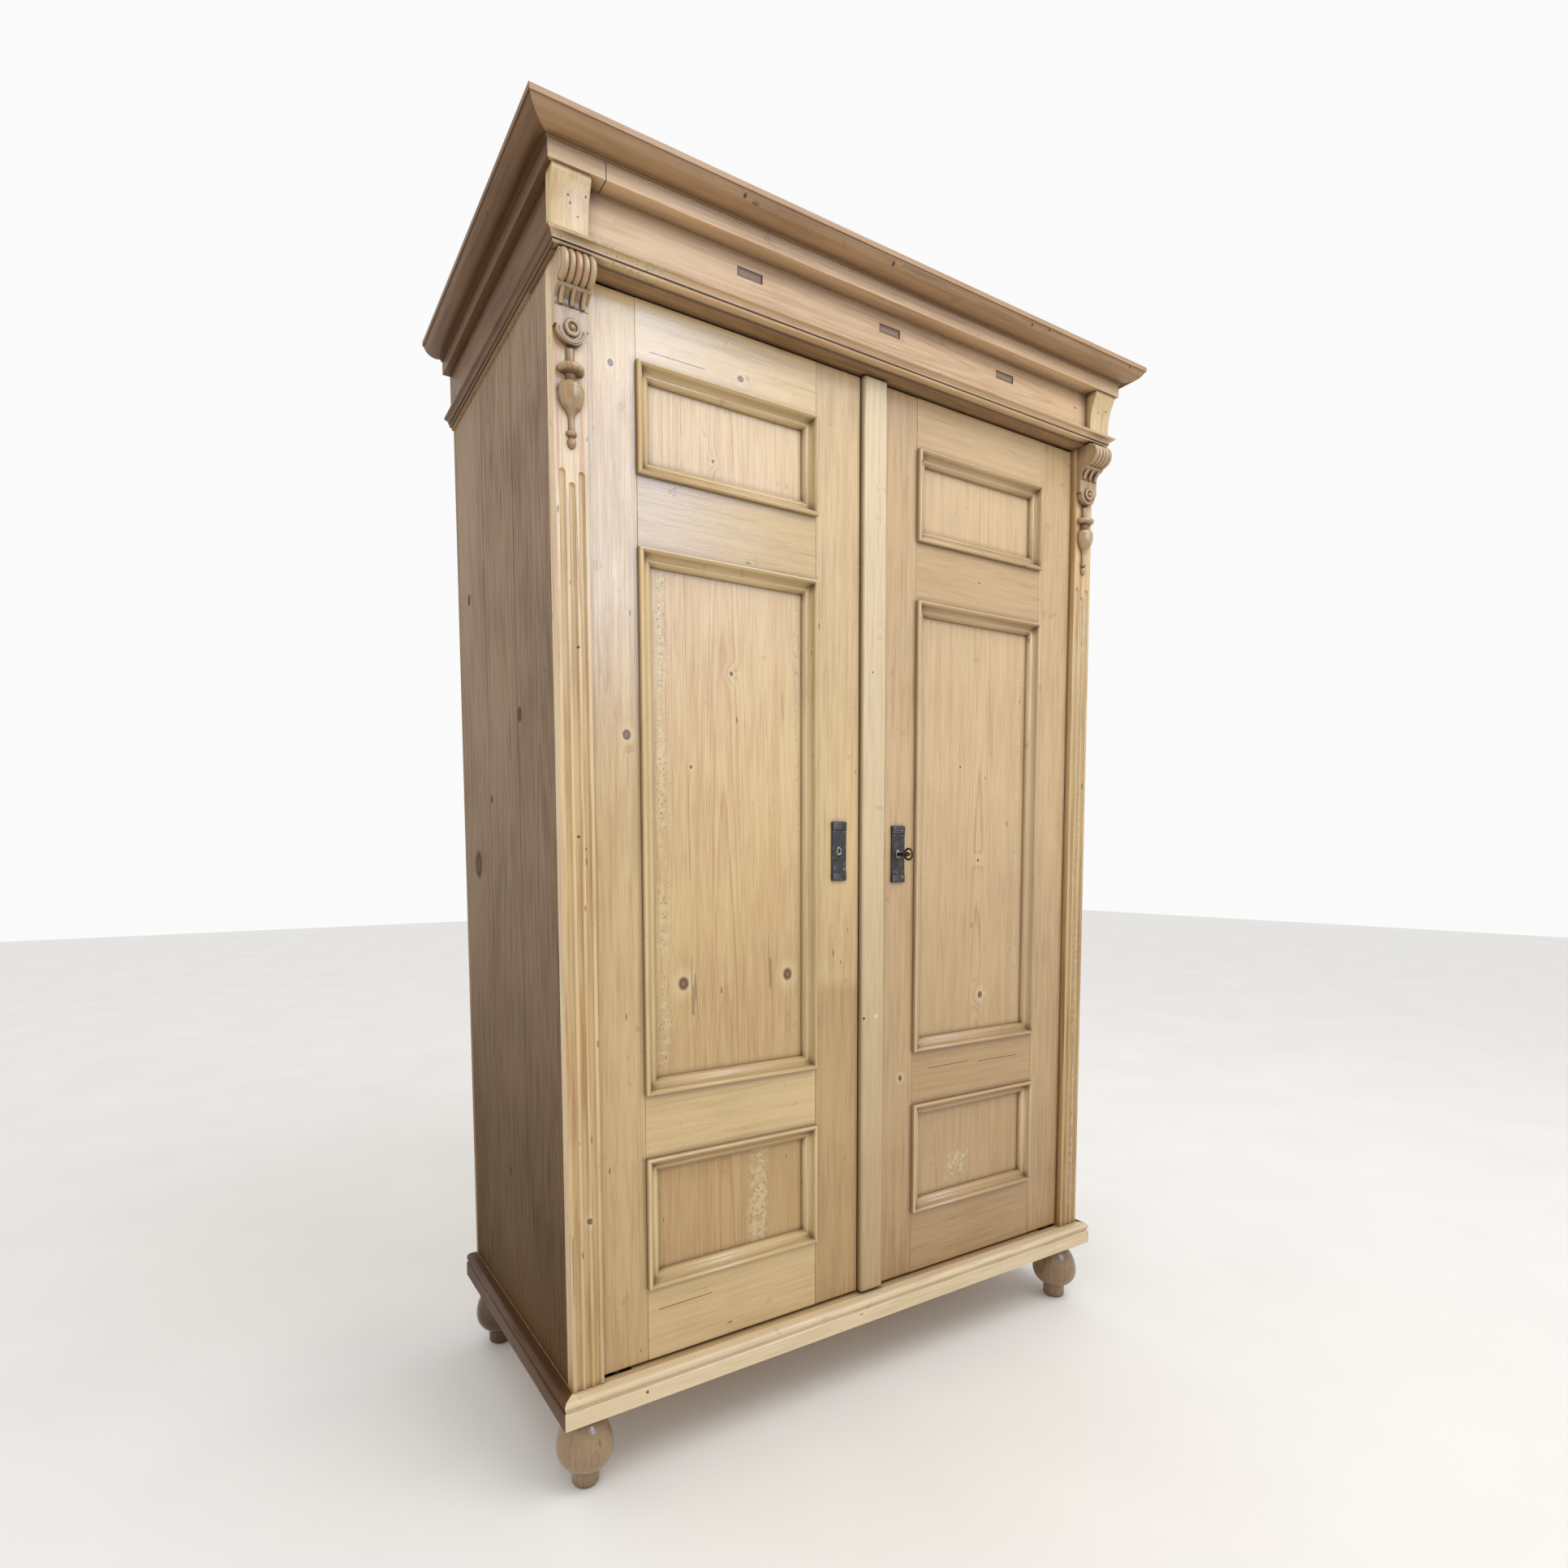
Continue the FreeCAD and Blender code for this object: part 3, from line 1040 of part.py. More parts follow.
def rim_lock():
    """A hollow case on the inside of the right leaf, its bolt and the key that throws it."""
    low_x = strip_left + dims.CaseInset
    high_x = low_x + dims.CaseLength
    wall = dims.CaseWall
    case_back = door_back + dims.CaseDepth
    low_z = dims.KeyHeight - dims.CaseHeight / 2
    high_z = dims.KeyHeight + dims.CaseHeight / 2
    bolt_y = door_back + dims.BoltSetback
    bolt_z = dims.KeyHeight + dims.BoltLift
    slack = dims.RunningGap
    blank = box("case_blank", (low_x, door_back, low_z), (high_x, case_back, high_z))
    node("lock_case", cut("lock_case", blank, [
        box("case_hollow", (low_x + wall, door_back, low_z + wall),
            (high_x - wall, case_back - wall, high_z - wall)),
        box("case_mouth", (low_x, bolt_y - slack, bolt_z - slack),
            (low_x + wall, bolt_y + dims.BoltThickness + slack, bolt_z + dims.BoltHeight + slack)),
        cylinder("case_key_hole", dims.KeyShankRadius + dims.KeyFit, wall + over,
                 (dims.KeyX, case_back - wall, dims.KeyHeight), ALONG_Y)]))

    talon_x = dims.KeyX + dims.BoltThrow / 2
    bar = box("bolt_bar", (low_x, bolt_y, bolt_z),
              (low_x + dims.BoltLength, bolt_y + dims.BoltThickness, bolt_z + dims.BoltHeight))
    talon = box("talon", (talon_x - dims.TalonWidth / 2, bolt_y, bolt_z),
                (talon_x + dims.TalonWidth / 2, bolt_y + dims.BoltThickness,
                 dims.KeyHeight + dims.BitReach + slack * 2))
    node("lock_bolt", cut("lock_bolt", bar, [talon]))

    plate_face = door_face - dims.EscutcheonThickness
    shank_start = plate_face - dims.KeyShankOut
    shank = cylinder("key_shank", dims.KeyShankRadius, case_back - shank_start,
                     (dims.KeyX, shank_start, dims.KeyHeight), ALONG_Y)
    collar = cylinder("key_collar", dims.KeyCollarRadius, dims.KeyCollarLength,
                      (dims.KeyX, plate_face - slack - dims.KeyCollarLength, dims.KeyHeight), ALONG_Y)
    bow = torus("key_bow", dims.KeyBowRadius, dims.KeyBowWire,
                (dims.KeyX, shank_start - dims.KeyBowRadius, dims.KeyHeight), ALONG_X)
    bit = doc.addObject("Part::Box", "key_bit")
    bind(bit, "Length", dims.BitThickness)
    bind(bit, "Width", dims.BitLength)
    bind(bit, "Height", dims.BitReach)
    lean = math.sqrt(0.5)
    place(bit, (dims.KeyX - dims.BitThickness / 2 * lean, bolt_y + slack,
                dims.KeyHeight + dims.BitThickness / 2 * lean),
          FreeCAD.Rotation(FreeCAD.Vector(0, 1, 0), 45))
    node("key", fuse("key", [shank, collar, bow, bit]))

    keeper_high_x = strip_left - dims.DoorGapMeeting - dims.KeeperGap
    keeper_low_x = keeper_high_x - dims.KeeperLength
    thick = dims.KeeperWall
    keeper = box("keeper_blank", (keeper_low_x, door_back, bolt_z - thick),
                 (keeper_high_x, bolt_y + dims.BoltThickness + thick, bolt_z + dims.BoltHeight + thick))
    mortise = box("keeper_mortise", (keeper_low_x + thick, bolt_y - slack * 2, bolt_z - slack * 2),
                  (keeper_high_x, bolt_y + dims.BoltThickness + slack * 2,
                   bolt_z + dims.BoltHeight + slack * 2))
    node("lock_keeper", cut("lock_keeper", keeper, [mortise]))


def slide_bolt(level, edge_z, inward):
    """A flat bolt in two staples on the left leaf. Inward is the way into the leaf."""
    x = -dims.SlideX
    half = dims.SlideWidth / 2

    def span(start, length):
        near = edge_z + start * inward
        far = near + length * inward
        return (near, far) if inward > 0 else (far, near)

    bar_z = span(dims.SlideInset, dims.SlideLength)
    bar = box(f"{level}_bar", (x - half, slide_front, bar_z[0]), (x + half, slide_back, bar_z[1]))
    knob_z = edge_z + (dims.GuideInset + dims.GuideLength / 2) * inward
    knob = cylinder(f"{level}_knob", dims.SlideKnobRadius, dims.SlideKnobLength,
                    (x, slide_back, knob_z), ALONG_Y)
    node(f"{level}_slide_bolt", fuse(f"{level}_slide_bolt", [bar, knob]))

    plate_z = span(dims.GuideInset, dims.GuideLength)
    plate_back = door_back + dims.GuideThickness
    pieces = [box(f"{level}_guide_plate", (x - dims.GuideWidth / 2, door_back, plate_z[0]),
                  (x + dims.GuideWidth / 2, plate_back, plate_z[1]))]
    wide = half + dims.RunningGap + dims.StapleWall
    deep = slide_back + dims.RunningGap + dims.StapleWall
    tools = []
    starts = (dims.GuideInset, dims.GuideInset + dims.GuideLength - dims.StapleLength)
    for number, start in enumerate(starts):
        staple_z = span(start, dims.StapleLength)
        pieces.append(box(f"{level}_staple_{number + 1}", (x - wide, plate_back, staple_z[0]),
                          (x + wide, deep, staple_z[1])))
    tools.append(box(f"{level}_way", (x - half - dims.RunningGap, plate_back, plate_z[0] - over),
                     (x + half + dims.RunningGap, slide_back + dims.RunningGap, plate_z[1] + over)))
    return cut(f"{level}_guide", fuse(f"{level}_guide_blank", pieces), tools)


def ironwork():
    pivot_sockets()
    escutcheon("left", -dims.LeftPlateX, dims.KeyHeight + dims.LeftPlateRise)
    escutcheon("right", dims.KeyX, dims.KeyHeight)
    rim_lock()
    guides = [slide_bolt("top", door_top, -1), slide_bolt("bottom", door_bottom, 1)]
    node("bolt_guides", group("guide_group", guides))


base()
carcase()
interior()
crown()
ornament()
leaf("left")
leaf("right")
cover_strip()
ironwork()
doc.recompute()

for thing in doc.Objects:
    if "Invalid" in thing.State or "Error" in thing.State:
        raise RuntimeError(f"{thing.Name} did not build: {thing.State}")
for thing in nodes:
    if thing.Shape.isNull() or not thing.Shape.isValid():
        raise RuntimeError(f"{thing.Label} has no valid shape")

os.makedirs("parts", exist_ok=True)
for thing in nodes:
    thing.Shape.exportStep(f"parts/{thing.Label}.step")
print(len(nodes), "sub-parts")
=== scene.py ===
"""A two-door wardrobe in waxed pine: its finishes, its carved and iron detail, and a studio."""

import json
import math
from typing import NamedTuple

import bmesh
import bpy
from mathutils import Matrix, Vector

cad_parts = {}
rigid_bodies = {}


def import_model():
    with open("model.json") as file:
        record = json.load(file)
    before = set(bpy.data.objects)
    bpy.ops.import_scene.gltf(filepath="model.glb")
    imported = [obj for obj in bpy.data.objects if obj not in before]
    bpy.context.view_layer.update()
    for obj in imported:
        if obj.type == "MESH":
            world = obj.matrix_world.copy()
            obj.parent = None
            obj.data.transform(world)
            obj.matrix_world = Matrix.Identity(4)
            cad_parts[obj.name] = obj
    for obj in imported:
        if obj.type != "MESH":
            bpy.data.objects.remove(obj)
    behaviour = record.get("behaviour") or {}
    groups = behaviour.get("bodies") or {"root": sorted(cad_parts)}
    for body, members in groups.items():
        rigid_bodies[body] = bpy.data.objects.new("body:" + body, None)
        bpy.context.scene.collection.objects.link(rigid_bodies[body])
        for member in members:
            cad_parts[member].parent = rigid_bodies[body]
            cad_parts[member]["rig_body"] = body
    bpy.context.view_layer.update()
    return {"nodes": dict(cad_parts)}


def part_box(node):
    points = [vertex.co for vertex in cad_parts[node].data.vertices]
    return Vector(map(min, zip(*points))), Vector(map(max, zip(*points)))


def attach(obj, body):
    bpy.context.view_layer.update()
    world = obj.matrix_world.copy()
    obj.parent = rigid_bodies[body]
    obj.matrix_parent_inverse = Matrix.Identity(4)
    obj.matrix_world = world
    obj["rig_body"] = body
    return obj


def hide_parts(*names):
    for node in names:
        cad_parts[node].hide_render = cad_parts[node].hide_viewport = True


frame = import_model()

bl_info = {
    "name": "Pine wardrobe",
    "version": (1, 0, 0),
    "blender": (4, 5, 0),
    "location": "3D View > Sidebar > Wardrobe",
    "description": "Finishes and fine detail of a two-door wardrobe in waxed pine",
    "category": "Object",
}

MM = 0.001
AXES = "xyz"

# Boards: node, finish, directions across, through and along the board, number of boards side
# by side, and where the heart of the log lies across the board, as a share of its width.
BOARDS = [
    ("pilaster_left", "pilaster", "xyz", 1, 2.6), ("pilaster_right", "pilaster", "xyz", 1, -1.4),
    ("side_left", "side", "yxz", 3, 0.4), ("side_right", "side", "yxz", 3, 0.6),
    ("back_boards", "raw", "xyz", 7, 0.45),
    ("hat_shelf", "raw", "yzx", 2, 0.4), ("shelf_cleats", "raw", "zxy", 1, 2.0),
    ("hanging_rail", "front", "yzx", 1, 0.5), ("rail_cups", "front", "yxz", 1, 0.3),
    ("corner_blocks", "raw", "zyx", 1, 1.8), ("floor_bearers", "raw", "xzy", 1, 0.4),
    ("floor_boards", "raw", "yzx", 4, 0.5), ("plinth_front", "plinth", "zyx", 1, 1.9),
    # Painted shade: the plinth's sides take the crown's dark finish.
    ("plinth_left", "crown", "zxy", 1, 1.7), ("plinth_right", "crown", "zxy", 1, 1.6),
    ("plinth_back", "raw", "zyx", 1, 1.6), ("soffit_board", "soffit", "yzx", 1, 0.6),
    ("ceiling_boards", "raw", "yzx", 3, 0.4), ("door_stops", "raw", "zyx", 1, 1.4),
    ("frieze_front", "frieze", "zyx", 1, 0.4), ("crown_boards", "raw", "yzx", 3, 0.5),
    ("frieze_blocks", "block", "xyz", 1, 2.2), ("cornice_front", "cornice", "zyx", 1, 1.8),
    # Painted shade: the cornice's sides take the crown's dark finish.
    ("cornice_left", "crown", "zxy", 1, 1.8), ("cornice_right", "crown", "zxy", 1, 1.7),
    ("left_door_hinge_stile", "front", "xyz", 1, 1.7),
    ("left_door_meeting_stile", "front", "xyz", 1, -0.6),
    ("left_door_rails", "front", "zyx", 1, 0.3), ("left_door_panels", "panel", "xyz", 1, 0.46),
    ("right_door_hinge_stile", "right", "xyz", 1, -0.8),
    ("right_door_meeting_stile", "right", "xyz", 1, 1.5),
    ("right_door_rails", "right", "zyx", 1, 0.7),
    ("right_door_panels", "right_panel", "xyz", 1, 0.55),
    ("cover_strip", "strip", "xyz", 1, 1.5),
]
FRONT_FEET = ("foot_front_left", "foot_front_right")
BACK_FEET = ("foot_back_left", "foot_back_right")
CARVINGS = ("console_left", "console_right", "pendant_left", "pendant_right", "rosettes")
STICKS = {"left_door_mouldings": "stick", "right_door_mouldings": "right_stick",
          "astragal": "frieze", "fascia": "frieze", "frieze_frame": "frieze"}
PLATES = ("left_escutcheon", "right_escutcheon", "left_door_pivots", "right_door_pivots",
          "pivot_sockets")
FITTINGS = ("bolt_guides", "lock_keeper", "lock_case", "lock_bolt", "top_slide_bolt",
            "bottom_slide_bolt")


class Look(NamedTuple):
    """How a board was finished: its wood, and how strongly each thing shows on it."""

    wood: str
    rings: float
    tone: float  # how dark the board is
    stripe: float
    dirt_and_shade: float  # old wax and painted shade in its corners
    gloss: float  # roughness of the wax, so a glossy board has little
    relief: float
    nicks: float
    cracks: float
    streaks: float
    reach: float = 0.011  # how far the old wax and painted shade come out of a corner, in metres
    shine: float = 0.5
    tint: str = "brown"  # the colour of the painted shade towards the floor
    knot: str = "knot"  # what darkens its knots


LOOKS = {
    # wood, rings, tone, stripe, grime, gloss, relief, nicks, cracks, streaks
    "front": Look("front", 0.34, 0.26, 0.8, 0.85, 0.25, 0.4, 0.06, 0.12, 0.15),
    "panel": Look("panel", 0.42, 0.24, 0.8, 0.9, 0.36, 0.5, 0.05, 0.45, 0.2),
    "pilaster": Look("panel", 0.36, 0.08, 1.1, 0.55, 0.25, 0.6, 0.3, 0.5, 0.6),
    # Painted shadow: the frieze's wide reach darkens it under the fascia, with old wax as well.
    "frieze": Look("frieze", 0.24, 0.3, 0.7, 0.95, 0.52, 0.4, 0.03, 0.15, 0.1, reach=0.026),
    "block": Look("front", 0.4, 0.28, 0.9, 1.0, 0.4, 0.6, 0.1, 0.3, 0.3),
    "cornice": Look("cornice", 0.3, 0.3, 1.0, 0.95, 0.58, 0.15, 0.05, 0.3, 0.1),
    # Painted shade: the sides' pine is darker than the front's partly for the shade on them, partly
    # browner wax.
    "side": Look("side", 0.24, 0.3, 1.0, 0.8, 0.55, 0.5, 0.03, 0.4, 0.12, shine=0.03,
                 tint="shade", knot="wax"),
    # Painted shade: the crown's sides, the plinth's sides, the back feet and the mouldings' ends
    # that run front to back are dark for the shade on them.
    "crown": Look("crown", 0.3, 0.3, 1.2, 1.0, 0.45, 0.5, 0.05, 0.3, 0.1, reach=0.026,
                  shine=0.15),
    # Painted shade: the soffit is darker in tone, for the shade under the cornice.
    "soffit": Look("cornice", 0.4, 0.5, 1.0, 0.9, 0.5, 0.5, 0.02, 0.2, 0.0),
    "plinth": Look("strip", 0.28, 0.1, 0.8, 0.55, 0.36, 0.45, 0.08, 0.1, 0.15),
    "stick": Look("front", 0.32, 0.2, 0.8, 0.8, 0.27, 0.4, 0.06, 0.1, 0.15, reach=0.014),
    "strip": Look("strip", 0.26, 0.25, 0.9, 0.8, 0.34, 0.4, 0.05, 0.2, 0.05),
    "raw": Look("raw", 0.5, 0.36, 0.8, 0.6, 0.68, 0.8, 0.02, 0.4, 0.1),
    "carved": Look("carved", 0.3, 0.26, 0.9, 1.0, 0.28, 0.5, 0.12, 0.1, 0.4, reach=0.03),
    "turned": Look("foot", 0.3, 0.3, 0.8, 0.9, 0.16, 0.3, 0.1, 0.1, 0.1, reach=0.02),
}
# The right leaf is a less yellow pine, and the back feet are painted as dark as the crown's sides,
# for the shade on them.
for new, old, other_wood in (("right", "front", "right"), ("right_panel", "panel", "right"),
                             ("right_stick", "stick", "right"), ("back_foot", "turned", "crown")):
    LOOKS[new] = LOOKS[old]._replace(wood=other_wood)

# Places below are across and along the board, in mm.
# Knots: node, place and radius.
KNOTS = {
    "left_door_hinge_stile": [(-477, 1164, 7), (-494, 1697, 5)],
    "left_door_rails": [(1733, -270, 4.5)],
    "left_door_panels": [(-378, 776, 11.5), (-174, 776, 12), (-284, 1275, 3.5), (-361, 1122, 3.5),
                         (-316, 1601, 3)],
    "right_door_panels": [(300, 698, 7), (289, 968, 3.5), (237, 1149, 3)],
    "right_door_meeting_stile": [(78, 560, 5)],
    "pilaster_left": [(-554, 430, 5)],
    "side_left": [(217, 968, 24), (119, 1085, 7), (-50, 1211, 11), (235, 1464, 13), (60, 420, 9)],
    "side_right": [(150, 1210, 9), (-60, 640, 8)],
    "back_boards": [(-420, 900, 11), (-80, 1320, 9), (260, 620, 12), (430, 1500, 10)],
    "crown_boards": [(-120, 240, 10), (180, -330, 11)],
}

# Old nail holes: node, place and radius.
HOLES = {
    "cornice_front": [(1938, -314, 3.2), (1937, -28, 3.2), (1939, 305, 2.6), (1942, 350, 2.6),
                      (1942, 590, 2.6)],
    "frieze_blocks": [(-571, 1873, 1.8), (-546, 1878, 1.8), (-556, 1852, 1.6), (560, 1868, 1.8)],
    "plinth_front": [(143, -471, 3)],
    "pilaster_left": [(-555.5, 1282, 2.4), (-560, 1010, 2.6), (-549, 992, 2)],
    "cover_strip": [(-19, 685, 3), (-3, 1302, 2)],
}

# Flaked old finish: node, and the lowest and highest places of each patch.
FLAKES = {
    "left_door_panels": [(-436, 640, -392, 1425), (-168, 1000, -138, 1425), (-170, 640, -142, 900),
                         (-268, 300, -205, 500), (-430, 1560, -412, 1700)],
    "right_door_panels": [(384, 640, 414, 1420), (198, 322, 286, 398), (135, 900, 150, 1420),
                          (200, 1560, 222, 1700)],
    "pilaster_right": [(548, 200, 586, 1500)],
    "astragal": [(1768, -650, 1864, -415)],
}

# Sunk rectangles in the frieze, painted dark with old wax and painted shade: middle across and
# along, and their half sizes.
MARKS = {"frieze_front": [(1875, -268, 6.5, 22.5), (1875, 17, 6.5, 22.5), (1875, 302, 6.5, 22.5)]}

# How much painted shade darkens a board at each height in mm, from 0 to 1.
FLOOR_SHADE = {
    "left_door_rails": [(180, 0.4), (292, 0.35), (300, 0.25), (606, 0.3), (700, 0.3),
                        (1548, 0.3), (1600, 0.05)],
    "right_door_rails": [(180, 0.85), (292, 0.8), (300, 0.65), (606, 0.7), (700, 0.35),
                         (1548, 0.35), (1600, 0.15)],
    "left_door_meeting_stile": [(180, 0.85), (740, 0.6), (760, 0.3), (1100, 0.1), (1800, 0.1)],
    "right_door_meeting_stile": [(180, 0.8), (700, 0.4), (1100, 0.15), (1800, 0.25)],
    "right_door_hinge_stile": [(180, 0.8), (700, 0.45), (1100, 0.15), (1800, 0.15)],
    "right_door_panels": [(200, 0.65), (504, 0.6), (700, 0.4), (1100, 0.1), (1500, 0.05)],
    "left_door_panels": [(200, 0.8), (520, 0.65), (700, 0.45), (1100, 0.05), (1500, 0.0)],
    "left_door_hinge_stile": [(180, 0.65), (700, 0.35), (1100, 0.1), (1500, 0.0)],
    "left_door_mouldings": [(180, 0.4), (1500, 0.1)],
    "right_door_mouldings": [(180, 0.5), (1500, 0.2)],
    "cover_strip": [(180, 0.85), (600, 0.55), (1000, 0.2), (1600, 0.0)],
    "pilaster_left": [(180, 0.5), (900, 0.15), (1500, 0.0)],
    "pilaster_right": [(180, 0.8), (900, 0.45), (1500, 0.25)],
    **dict.fromkeys(("plinth_left", "plinth_right", *BACK_FEET), [(0, 1.0), (180, 1.0)]),
    **dict.fromkeys(("side_left", "side_right"), [(180, 1.0), (450, 0.85), (900, 0.4),
                                                  (1500, 0.0)]),
}

# Butt joints across a board, in mm along it.
JOINTS = {"fascia": -520}

# Long cracks in the rails: place across, and where along the board they start and end.
CRACKS = {
    "left_door_rails": [(253, -434, -335), (1724, -430, -335)],
    "right_door_rails": [(570, 150, 258), (566, 285, 400)],
}

# Heads of the nails that hold the crown together, in mm.
CROWN_NAILS = [(-571, -273, 1858), (571, -273, 1868), (-430, -249, 1835), (-60, -249, 1835),
               (330, -249, 1835)]

# Where the fine detail sits: faces by their y, then middles by y and z or x and z, in mm.
PLATE_FACE, STRIP_FACE, GUIDE_BACK, LOCK_BACK, KEY_BIT = -225.5, -233, -197, -183, -192
RIB_TOP, ROSETTE = (-254.5, 1759.5), (-244, 1714)
KEYHOLE = (67, 981)
PLATE_PINS = [(x, z) for x in (-10.5, 10.5) for z in (-33, 33)]  # from the plate's middle
STRIP_PLUGS = [(9, 1621), (9, 1570), (9, 687)]

# Screws of the guides and the lock: x and z in mm, and the turn of the slot in degrees.
GUIDE_SCREWS = [(-50 + side * 10.5, z, side * 20) for z in (204, 244, 1730, 1770)
                for side in (-1, 1)]
LOCK_SCREWS = [(x, z, x * 3 + z) for x in (-14, 82) for z in (950, 1012)]

# How a rib runs down the neck: each step's drop and step back in mm, and its swelling.
RIB_STEPS = ((3, 3.0, 1.05), (3.5, 3.0, 1.05), (4, 2.2, 1.0), (4, 1.2, 0.95), (2.5, 0.4, 0.8))

# Profile of the key's shank: radius and height in mm.
KEY_SHANK = [(1.2, 0), (2.4, 0.6), (2.9, 1.5), (2.9, 43), (3.0, 59.0), (4.3, 59.6), (4.4, 61.8),
             (3.4, 62.6), (3.3, 66), (4.0, 66.6), (4.1, 68), (3.2, 69), (2.6, 72.5), (2.2, 73.6)]

# Threads of the grain: how much they shorten it, their scale over the fibre, and detail.
THREADS = {"fibre": (0.022, 1.0, 4.0), "streak": (0.06, 0.16, 3.0),
           "amber": (0.035, 0.09, 3.0), "split": (0.009, 0.03, 1.0)}

# How far below a board's face the heart of its log lies, and how the log tapers along it.
HEART_DEPTH, LOG_TAPER = 55 * MM, 0.011

# How much the fibres and the clouds of wear change the roughness of the wax.
FIBRE_GLOSS, PATINA_GLOSS = 0.22, 0.3

# Lamps: name, place, aim, size, power and colour.
LAMPS = [
    ("window_sheen", (0.72, -3.0, 2.6), (-0.45, -0.2, 1.4), (0.5, 1.6), 62, "#A9CCFF"),
    ("ceiling", (0.8, -1.9, 3.9), (0, -0.2, 0.9), (2.0, 2.0), 56, "#FFFFFF"),
    ("room", (-3.2, -2.6, 2.2), (-0.3, 0, 1.0), (2.4, 2.4), 6, "#FFFFFF"),
]

# Camera of the photograph: its lens and shift, its place, and its right, up and back.
LENS, LENS_SHIFT = 19.56, (0.0467, 0.0852)
CAMERA_PLACE = (-1.0252, -1.4099, 0.9798)
CAMERA_AXES = ((0.8633, -0.5046, -0.008), (0.043, 0.0578, 0.9974), (-0.5029, -0.8614, 0.0716))


def linear(code):
    """Linear colour of an sRGB hex value."""
    parts = [int(code[start:start + 2], 16) / 255 for start in (1, 3, 5)]
    return tuple(c / 12.92 if c <= 0.04045 else ((c + 0.055) / 1.055) ** 2.4 for c in parts)


def colour(name, code, description):
    return bpy.props.FloatVectorProperty(name=name, description=description, size=3,
                                         subtype="COLOR", min=0, max=1, default=linear(code))


def length(name, size, description):
    return bpy.props.FloatProperty(name=name, description=description, default=size * MM,
                                   min=0, unit="LENGTH", subtype="DISTANCE", precision=5)


# Each wood's name, its colours between the rings and in them, and what it is.
WOODS = {
    "front": ("Front", "#D2B98C", "#9E7345", "waxed pine of the front"),
    "right": ("Right leaf", "#CBB089", "#97744C", "less yellow pine of the right leaf"),
    "panel": ("Panels", "#D5BA8B", "#A97845", "yellower pine of the panels"),
    "frieze": ("Frieze", "#D2B28A", "#9A7350", "pinker pine of the frieze"),
    "cornice": ("Cornice", "#A58460", "#70512F", "olive brown pine of the cornice"),
    # Painted shade: the sides' pine is darker partly for the shade on them.
    "side": ("Side", "#9C8671", "#5C4534", "darker waxed pine of the sides"),
    # Painted shade: the crown's sides' pine is dark for the shade on them.
    "crown": ("Crown's sides", "#775C45", "#412D1D", "dark waxed pine at the crown's sides"),
    "strip": ("Strip", "#D2BE9B", "#A58A62", "paler pine of the cover strip"),
    "carved": ("Carving", "#B49A76", "#70553A", "honey pine of the carving"),
    "foot": ("Feet", "#937A5C", "#5F452E", "glossy brown pine of the feet"),
    "raw": ("Raw pine", "#C9A777", "#94683F", "bare pine of the inside and back"),
}


class WardrobeColours(bpy.types.PropertyGroup):
    """Colours of the woods and metals."""

    # The dark marks, and the painted shade in corners and sunk marks, are all mixed towards this
    # old wax.
    wax: colour("Old wax", "#4F3520", "Dark wax that has gathered in corners and holes")
    # Painted shade: boards are multiplied with this brown towards the floor.
    brown: colour("Browned wood", "#C4B39B", "Brown that boards take on towards the floor")
    shade: colour("Lower sides", "#9A8B6E", "Shade that the sides take on towards the floor")
    amber: colour("Amber streaks", "#A9733E", "Streaks of old finish along the grain")
    cream: colour("Bare flakes", "#D2C39C", "Pale wood of flaked places and round the knots")
    knot: colour("Knot", "#573820", "Heart of a knot")
    iron: colour("Blackened iron", "#4A4643", "Key plates, bolts and lock")
    worn: colour("Worn iron", "#8D8780", "Iron where hands have rubbed it")
    bright: colour("Bright iron", "#E6E0D4", "Iron rubbed bright round the keyholes")
    rust: colour("Rust", "#4B2F1E", "Rust in the pits of the iron")
    steel: colour("Key", "#4C443E", "Forged key")
    floor: colour("Floor", "#E9E7E3", "Studio floor")


for wood_name, (label, early, late_wood, about) in WOODS.items():
    WardrobeColours.__annotations__.update({
        f"{wood_name}_light": colour(f"{label}, early wood", early,
                                     f"Between the rings of the {about}"),
        f"{wood_name}_dark": colour(f"{label}, late wood", late_wood, f"Rings of the {about}")})


class WardrobeSizes(bpy.types.PropertyGroup):
    """Sizes of the fine detail."""

    edge: length("Eased edge", 0.9, "Rounding of a board's worn edge")
    iron_edge: length("Iron edge", 0.4, "Rounding of a plate's edge")
    ring: length("Ring spacing", 3.2, "One year's growth of the pine")
    fibre: length("Fibre", 1.1, "Width of a fibre streak, coarser than real so that it shows")
    nail: length("Nail head", 1.7, "Radius of a nail head")
    screw: length("Screw head", 3.4, "Radius of a slotted screw's head")
    pin: length("Pin head", 2.2, "Radius of a key plate's pin")


def add(tree, kind, *inputs, named=None, stops=(), **settings):
    """Adds a node with its settings, and fills its inputs with values or with other outputs.

    stops are the places on a colour ramp, each with its grey or colour.
    """
    node = tree.nodes.new("ShaderNode" + kind)
    for name, value in settings.items():
        setattr(node, name, value)
    for socket, value in list(zip(node.inputs, inputs)) + [
            (node.inputs[name], value) for name, value in (named or {}).items()]:
        if isinstance(value, bpy.types.NodeSocket):
            tree.links.new(value, socket)
        elif value is not None:
            socket.default_value = value
    for number, (position, shade) in enumerate(stops):
        elements = node.color_ramp.elements
        element = elements[number] if number < 2 else elements.new(position)
        element.position = position
        element.color = (*shade, 1) if isinstance(shade, tuple) else (shade, shade, shade, 1)
    return node.outputs[0] if node.outputs else node


def new_material(name):
    material = bpy.data.materials.new(name)
    material.use_nodes = True
    material.node_tree.nodes.clear()
    return material, material.node_tree


